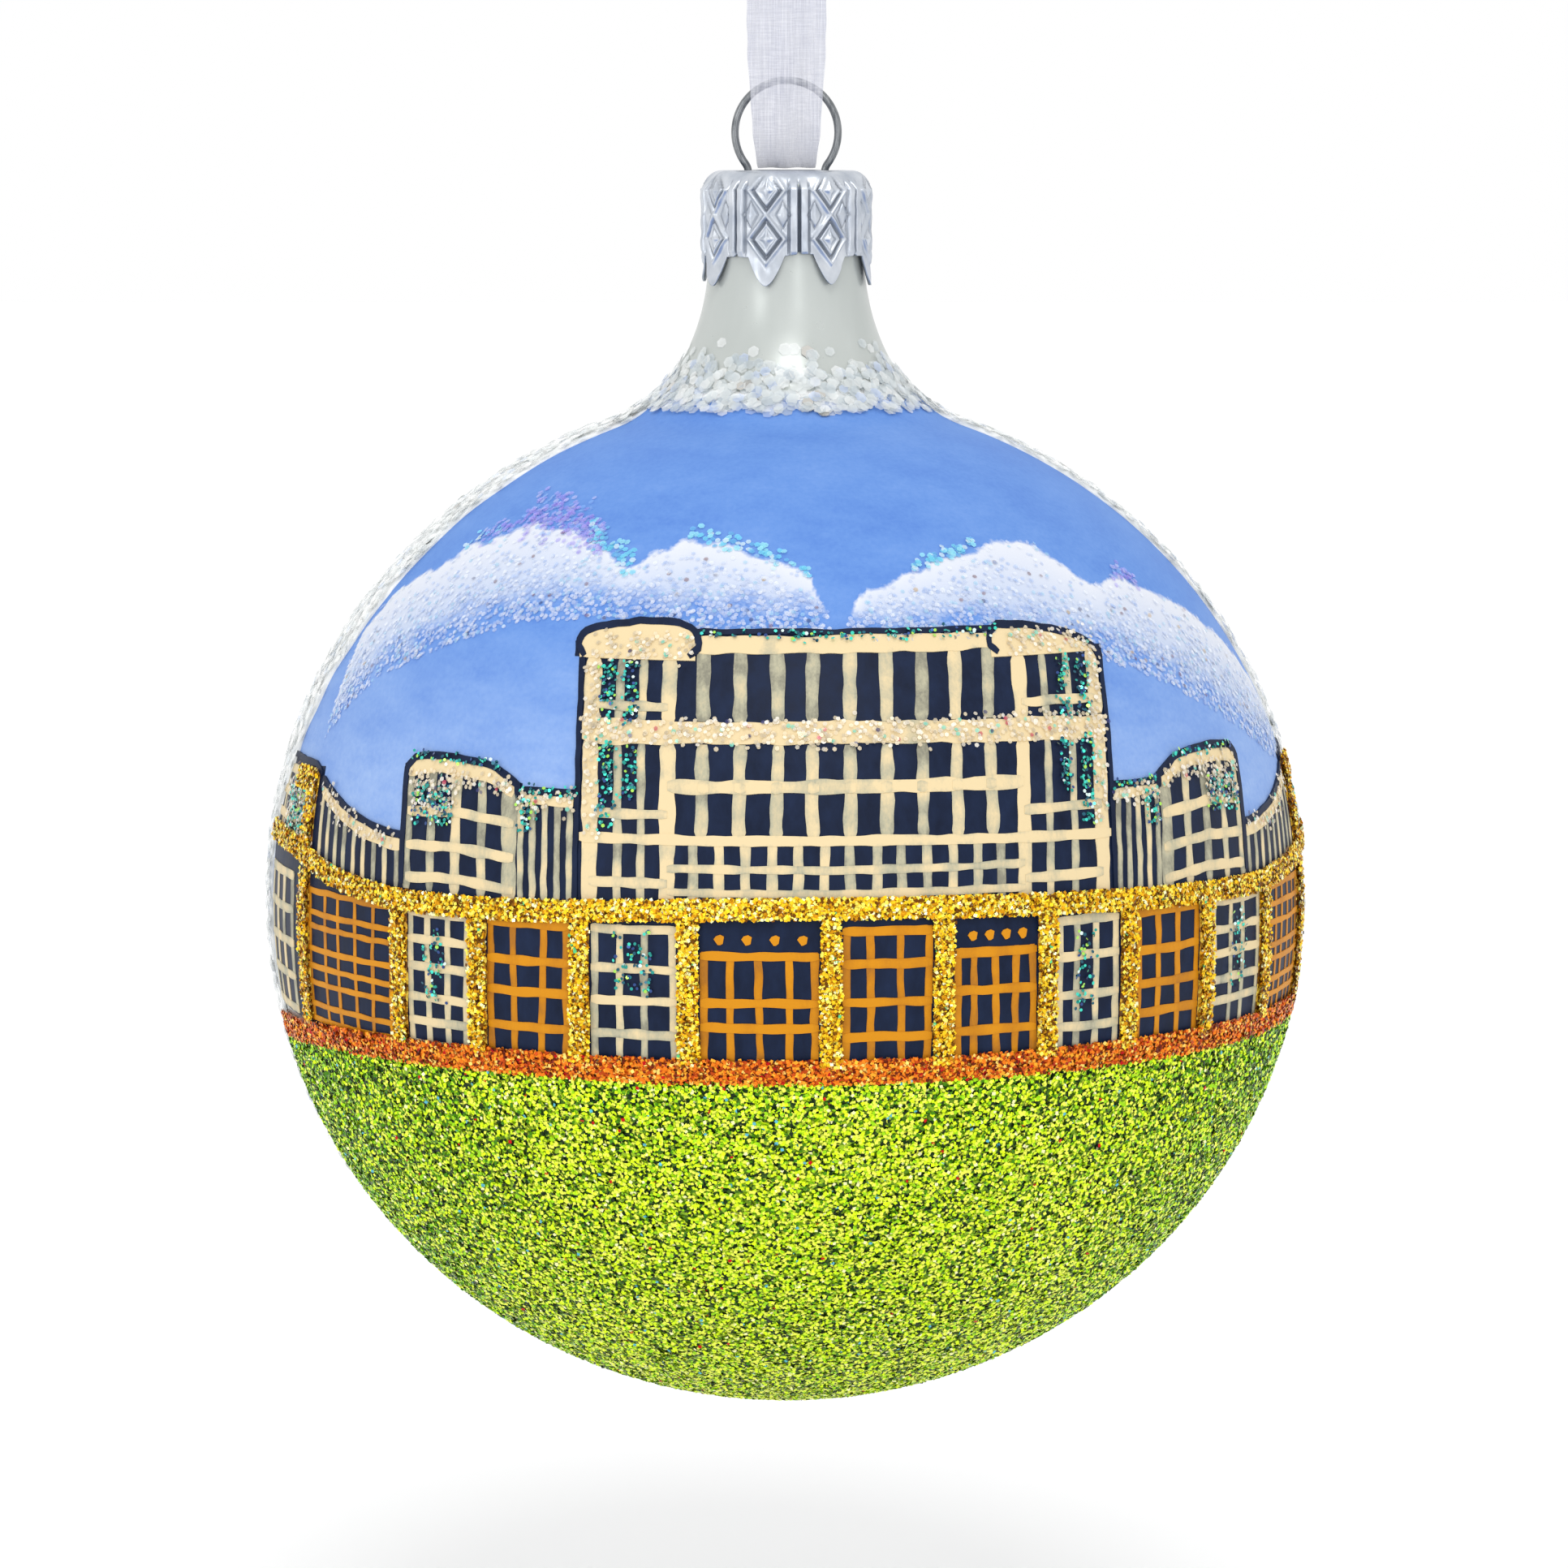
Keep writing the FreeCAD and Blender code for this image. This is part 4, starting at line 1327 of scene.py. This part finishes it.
def make_snow():
    """Hexagonal flakes: over the back between the seams, and round the foot of the neck."""
    bed = new_material("snow_bed", linear(248, 250, 248), 0.6, 0.0, Specular_IOR_Level=0.2)
    tone = noise(bed, 1500, 4.0)
    set_color(bed, ramp(bed, tone, [(0.3, linear(236, 240, 240)), (0.7, linear(255, 255, 255))]))
    add_bump(bed, noise(bed, 2600, 3.0), 0.00012, 0.6)
    clear = flake_set("snow_flake", SNOW_TONES, 0.0, 0.35, Coat_Weight=0.15, Coat_Roughness=0.2, Alpha=0.5)
    mirror = new_material("snow_mirror", linear(222, 220, 214), 0.12, 1.0)
    foils = clear + [mirror]
    shares = SNOW_SHARES + [1.3]
    back = bed_mesh("snow_back_bed", *back_seams(0.012), -BALL_HALF_HEIGHT, PAINT_TOP, 0.36, 0.12, 0.6, 501)
    add_object("snow_back_bed", back, [bed], "ball", ["snow_back"])
    lowest = -BALL_HALF_HEIGHT + 0.003
    azimuth, z, local = region_sample(SNOW_FLAKES, *back_seams(), lowest, PAINT_TOP, 503)
    lifts = local.uniform(0.38, 0.72, len(z))
    scatter("snow_back_flakes", azimuth, z, lifts, 0.39, 0.12, 6, foils, shares, 504)

    round_neck = (fixed(-math.pi), fixed(math.pi))
    collar = bed_mesh("snow_collar_bed", *round_neck, PAINT_TOP - 0.2, COLLAR_TO, 0.06, 0.02, 0.5, 511)
    add_object("snow_collar_bed", collar, [bed], "ball", ["snow_collar"])
    z = COLLAR_FROM + 0.05 + np.abs(local.normal(0, 2.5, COLLAR_FLAKES))
    azimuth = local.uniform(-math.pi, math.pi, COLLAR_FLAKES)
    edge = COLLAR_FROM + 0.3 * ripple(azimuth * 12, 0 * z, 77)
    sparse = np.interp(z, [41.5, 43.0, 44.5, 46.5], [1.0, 0.6, 0.15, 0.0])
    keep = (z > edge) & (local.uniform(0, 1, COLLAR_FLAKES) < sparse)
    azimuth, z = azimuth[keep], z[keep]
    piled = np.interp(z, [39.0, 41.0, 43.0, 44.0], [1.0, 0.8, 0.35, 0.1])
    lifts = piled * local.uniform(0.1, 0.5, len(z)) + 0.06
    foils = flake_set("collar_flake", COLLAR_TONES, 0.0, 0.3, Coat_Weight=0.3, Coat_Roughness=0.15,
                      Alpha=0.42)
    foils.append(mirror)
    scatter("snow_collar_flakes", azimuth, z, lifts, 0.49, 0.08, 6, foils, shares, 513)


# Drifts along the clouds' tops: where from, where to, how many flakes, how far above and how wide
VIOLET_DRIFTS = [(-28.0, -19.6, 330, 0.35, 0.75), (-33.0, -27.0, 50, 0.2, 0.3), (24.0, 27.5, 50, 0.2, 0.3)]
AQUA_DRIFTS = [
    (-21.0, -16.8, 75, 0.3, 0.55), (-12.5, -3.4, 70, 0.15, 0.3), (4.4, 9.8, 60, 0.2, 0.3),
    (-36, -30, 16, 0.1, 0.3),
]
CLOUD_FLAKES = 52000
CLOUD_FLAKE_LIFTS = (0.13, 0.24)


def cloud_top(s):
    outline = np.array(LEFT_CLOUD_TOP + RIGHT_CLOUD_TOP)
    return np.interp(s, outline[:, 0], outline[:, 1])


def edge_drift(drifts, local):
    """Picture places scattered along the tops of the clouds."""
    s_all, z_all = [], []
    for start, end, count, above, spread in drifts:
        s = local.uniform(start, end, count)
        s_all.append(s)
        z_all.append(cloud_top(s) + local.normal(above, spread, count))
    return np.concatenate(s_all), np.concatenate(z_all)


def make_cloud_glitter():
    """Clear flakes, thickest low in the clouds, with violet and aqua drifts along their tops."""
    local = np.random.default_rng(601)
    s = local.uniform(-52, 53, CLOUD_FLAKES)
    z = local.uniform(12, 33, CLOUD_FLAKES)
    under = cloud_underside(s, z)
    soft = 0.75 + 0.25 * ripple(s, z, 607, low=0.4, high=1.4)
    chance = soft * (0.1 * (cloud_cover(s, z) > 0.1) + 0.8 * np.clip(under * 1.5 - 0.25, 0, 1))
    keep = local.uniform(0, 1, CLOUD_FLAKES) < chance * 0.8
    s, z = s[keep], z[keep]
    azimuth = picture_azimuth(s, z)
    left, right = [edge(z) for edge in front_seams(0.02)]
    keep = (azimuth > left) & (azimuth < right)
    azimuth, z = azimuth[keep], z[keep]
    foils = flake_set("cloud_flake", CLOUD_TONES, 0.0, 0.3, Coat_Weight=0.3, Alpha=0.4)
    lifts = local.uniform(*CLOUD_FLAKE_LIFTS, len(z))
    scatter("cloud_flakes", azimuth, z, lifts, 0.19, 0.1, 6, foils, CLOUD_SHARES, 603,
            ["cloud_glitter"])
    for name, tones, shares, drifts, alpha in (
        ("violet_flakes", VIOLET_TONES, VIOLET_SHARES, VIOLET_DRIFTS, 0.36),
        ("aqua_flakes", AQUA_TONES, AQUA_SHARES, AQUA_DRIFTS, 0.6),
    ):
        s, z = edge_drift(drifts, local)
        foils = flake_set(name, tones, 0.0, 0.25, Coat_Weight=0.3, Alpha=alpha)
        lifts = local.uniform(*CLOUD_FLAKE_LIFTS, len(z))
        scatter(name, picture_azimuth(s, z), z, lifts, 0.25, 0.1, 6, foils, shares, 605)


def patches_sample(patches, local, per_mm2):
    """Places inside a list of picture patches: left, right, low, high."""
    s_all, z_all = [], []
    for s0, s1, z0, z1 in patches:
        count = int((s1 - s0) * (z1 - z0) * per_mm2)
        s_all.append(local.uniform(s0, s1, count))
        z_all.append(local.uniform(z0, z1, count))
    return np.concatenate(s_all), np.concatenate(z_all)


# Glitter patches of the palace's right side: left, right, low, high
PEARL_PATCHES = [
    (12.1, 20.0, 22.2, 23.8), (19.3, 20.3, 9.5, 22.2), (*LINK, 11.2, 12.5),
    (TOWER[0] + 0.5, TOWER[1] - 0.5, 12.2, 13.4), (31.5, 36.5, 10.5, 12.5), (50.5, 58, 5.5, 11),
    (37.5, 43.0, 7.7, 8.6), (43.0, 46.3, 8.3, 9.7), (46.3, 49.0, 9.5, 11.0),
]
TEAL_PATCHES = [
    (18.0, 19.2, 17.6, 21.9), (16.2, 17.3, 17.6, 21.9), (18.0, 19.2, 10, 16.2), (16.2, 17.2, 12.4, 16.2),
    (31.8, 36.2, 9.5, 12.3), (24.2, 25.8, 9.5, 12), (51, 57, 6, 10.5), (27.5, 36.5, 14.0, 14.5),
    (*LINK, 12.3, 12.8),
]
# Sparser teal patches on the ground floor's windows
SPARSE_PATCHES = [
    (-18.0, -15.0, -1.8, 3.0), (-34.6, -32.4, -3.8, 2.0), (17.2, 19.0, -3.8, 2.6), (34.2, 36.6, -3.8, 2.0),
]


def both_sides(patches):
    """The same patches mirrored to the left, and then as they are."""
    return [(-b, -a, low, high) for a, b, low, high in patches] + patches


def make_wall_glitter():
    """Clear pearly glitter on the cornices and bands, and teal glitter on some windows."""
    local = np.random.default_rng(621)
    pearl_patches = [(-WALL_HALF, WALL_HALF, CREAM_BAND[0] - 0.1, CREAM_BAND[1] + 0.1)]
    pearl_patches += both_sides(PEARL_PATCHES)
    teal_patches = both_sides(TEAL_PATCHES) + [(-12.0, 11.0, 23.7, 24.1)]
    s, z = patches_sample(pearl_patches, local, 9.0)
    s = s + local.normal(0, 0.15, len(s))
    z = z + local.normal(0, 0.2, len(z))
    foils = flake_set("pearl_flake", PEARL_TONES, 0.1, 0.25, Coat_Weight=0.5, Alpha=0.66)
    azimuth = picture_azimuth(s, z)
    lifts = local.uniform(0.3, 0.46, len(z))
    scatter("wall_pearl_flakes", azimuth, z, lifts, 0.175, 0.16, 6, foils, PEARL_SHARES, 623)
    s, z = patches_sample(teal_patches, local, 13.0)
    few_s, few_z = patches_sample(SPARSE_PATCHES, local, 5.0)
    s, z = np.concatenate([s, few_s]), np.concatenate([z, few_z])
    s = s + local.normal(0, 0.12, len(s))
    z = z + local.normal(0, 0.15, len(z))
    foils = flake_set("teal_flake", TEAL_TONES, 0.7, 0.2, Coat_Weight=0.4)
    azimuth = picture_azimuth(s, z)
    lifts = local.uniform(0.3, 0.5, len(z))
    scatter("window_teal_flakes", azimuth, z, lifts, 0.14, 0.3, 6, foils, TEAL_SHARES, 625)


# ---------------------------------------------------------------- cap
CAP_R = 6.8
CAP_TOP = 58.1
CAP_CORNER = 1.45
CAP_SHEET = 0.28
LOBES = 8
LOBE_PHASE = math.radians(-13.9)
VALLEY_Z = 51.4
TIP_Z = 49.15
LOBE_HALF = 1.5
DIAMOND_HALF = 1.5
DIAMOND_TALL = 1.9
DIAMOND_ROWS = (56.55, 52.75)
RIDGE = 0.25
GROOVE = 0.2
CAP_FACE_R = CAP_R - 0.2
CAP_INNER_R = CAP_R - CAP_SHEET - 0.14
CAP_MIDDLE_HOLE = 0.35


def lobe_place(theta):
    """Arc length from the middle of the nearest lobe, and the half pitch."""
    pitch = 2 * math.pi / LOBES
    away = (theta - LOBE_PHASE + pitch / 2) % pitch - pitch / 2
    return away * CAP_R, pitch * CAP_R / 2


def skirt_edge(theta):
    """Height of the skirt's lower edge."""
    x, half_pitch = lobe_place(theta)
    depth = np.clip(1 - (np.abs(x) / LOBE_HALF) ** 1.6, 0, 1)
    notch = 0.22 * np.exp(-((half_pitch - np.abs(x)) / 0.16) ** 2)
    bent = 0.12 * np.sin(3 * theta + 0.6) + 0.07 * np.sin(7 * theta)
    return VALLEY_Z - (VALLEY_Z - TIP_Z) * depth + notch + bent


def bead(distance, width):
    return np.exp(-(distance / width) ** 2)


def skirt_flare(z):
    """How far the skirt spreads outward near its lower edge."""
    return 0.34 * np.clip((52.4 - z) / 3.4, 0, 1) ** 1.3


def emboss(theta, z):
    """How far the pressed pattern stands out, from 0 to 1, and how deep its grooves are, which also sets how
    much painted shade they get.
    """
    x, half_pitch = lobe_place(theta)
    height = np.zeros(np.broadcast(theta, z).shape)
    groove_and_shade = np.zeros_like(height)
    for middle in DIAMOND_ROWS:
        away = np.abs(x) / DIAMOND_HALF + np.abs(z - middle) / DIAMOND_TALL
        height = np.maximum(height, bead(away - 1.0, 0.13))
        groove_and_shade = np.maximum(groove_and_shade, 0.8 * bead(away - 0.76, 0.08))
        height = np.maximum(height, 0.55 * bead(away - 0.58, 0.09))
        star = np.sqrt(np.abs(x) / 0.7) + np.sqrt(np.abs(z - middle) / 0.95)
        height = np.maximum(height, np.clip(2.4 - 2 * star, 0, 1))
    middle = sum(DIAMOND_ROWS) / 2
    side = np.abs(np.abs(x) - 1.35) / 0.5 + np.abs(z - middle) / 0.85
    height = np.maximum(height, 0.6 * np.clip(1.3 - side, 0, 1))
    groove_and_shade = np.maximum(groove_and_shade, 0.5 * bead(side - 1.25, 0.15))
    rib_zone = np.clip((z - 51.3) / 0.5, 0, 1) * np.clip((57.6 - z) / 0.6, 0, 1)
    gap = half_pitch - np.abs(x)
    height = np.maximum(height, rib_zone * np.clip(1.5 - (np.abs(gap - 0.42) / 0.3) ** 3, 0, 1))
    groove_and_shade = np.maximum(groove_and_shade, rib_zone * bead(gap, 0.085))
    groove_and_shade = np.maximum(groove_and_shade, 0.8 * rib_zone * bead(gap - 0.86, 0.06))
    fade = np.clip((CAP_TOP - 0.35 - z) / 0.8, 0, 1)
    return height * fade, groove_and_shade * fade


def make_cap():
    """The skirt, its rounded corner, the top, and the inside back down to the lower edge."""
    columns, side_rows = LOBES * 88, 96
    theta = np.linspace(-math.pi, math.pi, columns, endpoint=False)[None, :]
    corner_low = CAP_TOP - CAP_CORNER
    share = np.linspace(0, 1, side_rows)[:, None]
    edge = skirt_edge(theta)
    z_side = edge + (corner_low - edge) * share
    height, groove_and_shade = emboss(theta, z_side)
    dents = 0.05 * ripple(theta * CAP_R, z_side, 811, waves=12, low=1.5, high=6.0)
    r_side = CAP_FACE_R + dents + skirt_flare(z_side) + RIDGE * height - GROOVE * groove_and_shade
    pleat = 0.07 * np.sin(LOBES * (theta - LOBE_PHASE) + math.pi)
    arc = np.linspace(0, math.pi / 2, 12)[1:, None]
    z_arc = corner_low + CAP_CORNER * np.sin(arc) + 0 * theta
    height_arc, arc_groove_and_shade = emboss(theta, z_arc)
    scallop = 0.16 * np.cos(LOBES * (theta - LOBE_PHASE)) * np.sin(2 * arc)
    pressed = (RIDGE * height_arc - GROOVE * arc_groove_and_shade) * np.cos(arc)
    r_arc = CAP_FACE_R - CAP_CORNER * (1 - np.cos(arc)) + pressed
    r_arc += scallop - 0.12
    z_arc += 0.5 * scallop
    r_top = np.linspace(CAP_R - CAP_CORNER - 0.3, CAP_MIDDLE_HOLE, 14)[1:, None] + 0 * theta
    z_top = CAP_TOP - 0.05 * np.cos(r_top * 1.4) + 0 * theta
    r_in = np.array([[CAP_MIDDLE_HOLE], [CAP_R - CAP_CORNER], [CAP_INNER_R]]) + 0 * theta
    z_in = np.array([[CAP_TOP - CAP_SHEET], [CAP_TOP - CAP_SHEET], [corner_low]]) + 0 * theta
    low_share = np.linspace(1, 0, 12)[1:, None]
    z_low = edge + (corner_low - edge) * low_share
    r_low = CAP_INNER_R + skirt_flare(z_low)
    r = np.concatenate([r_side + pleat * (1 - share), r_arc, r_top, r_in, r_low + pleat * (1 - low_share)])
    z = np.concatenate([z_side, z_arc, z_top, z_in, z_low])
    # Painted shade for the cap's colour: the grooves get their depth, and the top face, the inside and the
    # lower inside get a fixed 0.75 of the dark grey.
    shade = np.full((len(r_top) + len(r_in) + len(r_low), columns), 0.75)
    depth = np.concatenate([groove_and_shade, arc_groove_and_shade, shade])
    rows = len(r)
    points = to_world(r * np.sin(theta), -r * np.cos(theta), z).reshape(-1, 3)
    faces = grid_faces(rows, columns, 0, closed=True)
    for j in range(columns):
        k = (j + 1) % columns
        faces.append((k, j, (rows - 1) * columns + j, (rows - 1) * columns + k))
    mesh = mesh_from("embossed_cap", points, faces)
    add_layer(mesh, "groove_and_shade", depth.ravel())
    return add_object("embossed_cap", mesh, [cap_metal()], "cap", ["ornament_cap"])


# ---------------------------------------------------------------- wire
WIRE_R = 0.3
RING_R = 4.1
RING_CENTRE = 61.1
RING_END = math.radians(37.0)
BEND_R = 1.2
LEG_STRAIGHT_TO = 52.2
LEG_SPLAY_X = 4.9
LEG_SPLAY_TO = 47.6
LEG_END = 40.5
LEG_TOE_IN = 0.25


def wire_line():
    """The wire's centreline: leg, ring, leg."""
    angle = np.linspace(-RING_END, math.pi / 2, 60)
    ring = [(RING_R * math.cos(a), RING_CENTRE + RING_R * math.sin(a)) for a in angle]
    start_x, start_z = ring[0]
    turn = np.linspace(RING_END, 0, 8)[1:]
    bend_x, bend_z = start_x + BEND_R * math.cos(RING_END), start_z - BEND_R * math.sin(RING_END)
    bend = [(bend_x - BEND_R * math.cos(a), bend_z + BEND_R * math.sin(a)) for a in turn]
    leg_x, leg_z = bend[-1]
    t = np.linspace(0, 1, 24)[1:]
    straight = [(leg_x, leg_z + (LEG_STRAIGHT_TO - leg_z) * v) for v in t]
    ease = t * t * (3 - 2 * t)
    splay = [(leg_x + (LEG_SPLAY_X - leg_x) * e, LEG_STRAIGHT_TO + (LEG_SPLAY_TO - LEG_STRAIGHT_TO) * v)
             for e, v in zip(ease, t)]
    tip = [(LEG_SPLAY_X - LEG_TOE_IN * v, LEG_SPLAY_TO + (LEG_END - LEG_SPLAY_TO) * v) for v in t]
    half = (bend + straight + splay + tip)[::-1] + ring
    return half + [(-x, z) for x, z in half[-2::-1]]


def make_wire():
    line = np.array([(x, 0.0, z) for x, z in wire_line()])
    along = np.gradient(line, axis=0)
    along /= np.linalg.norm(along, axis=1)[:, None]
    side = np.array([0.0, 1.0, 0.0])
    out = np.cross(along, side)
    sides = 16
    angle = np.linspace(0, 2 * math.pi, sides, endpoint=False)
    over = np.outer(np.sin(angle), side)
    rings = [p + WIRE_R * (np.outer(np.cos(angle), o) + over) for p, o in zip(line, out)]
    points = np.concatenate(rings)
    world = to_world(points[:, 0], points[:, 1], points[:, 2])
    faces = grid_faces(len(line), sides, 0, closed=True, flip=True)
    faces.append(tuple(range(sides)))
    faces.append(tuple(reversed(range((len(line) - 1) * sides, len(line) * sides))))
    mesh = mesh_from("drawn_wire", world, faces)
    return add_object("drawn_wire", mesh, [wire_metal()], "hanger", ["wire_hanger"])


# ---------------------------------------------------------------- stage
FLOOR_BELOW_CENTRE = 0.0705
FLOOR_HALF = 4.0


def make_stage():
    z = CENTRE_Z - FLOOR_BELOW_CENTRE
    corners = [(-1, -1), (1, -1), (1, 1), (-1, 1)]
    mesh = mesh_from("floor", [(x * FLOOR_HALF, y * FLOOR_HALF, z) for x, y in corners], [(0, 1, 2, 3)])
    floor = bpy.data.objects.new("floor", mesh)
    bpy.context.scene.collection.objects.link(floor)
    paper = new_material("paper", (0.9, 0.9, 0.9, 1), 0.9, Specular_IOR_Level=0.1)
    mesh.materials.append(paper)

    world = bpy.data.worlds.new("studio")
    bpy.context.scene.world = world
    world.use_nodes = True
    background = world.node_tree.nodes["Background"]
    background.inputs["Color"].default_value = (1.0, 1.0, 1.0, 1)
    background.inputs["Strength"].default_value = 1.0
    bpy.context.scene.view_settings.view_transform = "Standard"


def aim_at_ball(lamp, place):
    lamp.location = Vector(place) + Vector((0, 0, CENTRE_Z))
    lamp.rotation_euler = (Vector((0, 0, CENTRE_Z)) - lamp.location).to_track_quat("-Z", "Y").to_euler()
    bpy.context.scene.collection.objects.link(lamp)


def strip_light(name, azimuth, height, width, tall, radiance, distance=0.85):
    """A tall soft box, whose brightness is given as seen from the ball."""
    data = bpy.data.lights.new(name, "AREA")
    data.shape = "RECTANGLE"
    data.size = width
    data.size_y = tall
    data.energy = radiance * math.pi * width * tall
    a = math.radians(azimuth)
    aim_at_ball(bpy.data.objects.new(name, data), (distance * math.sin(a), -distance * math.cos(a), height))


def make_lights():
    strip_light("left_box", -38, 0.18, 0.2, 0.6, 2.1)
    strip_light("right_box", 17, 0.18, 0.1, 0.6, 2.4)
    sun = bpy.data.lights.new("sky_panel", "SUN")
    sun.energy = 0.75
    sun.angle = math.radians(24)
    aim_at_ball(bpy.data.objects.new("sky_panel", sun), (0.06, -0.55, 0.85))


make_stage()
make_lights()
make_glass()
make_sky()
make_palace()
make_lawn()
make_orange()
make_gold()
make_snow()
make_cloud_glitter()
make_wall_glitter()
make_cap()
make_wire()
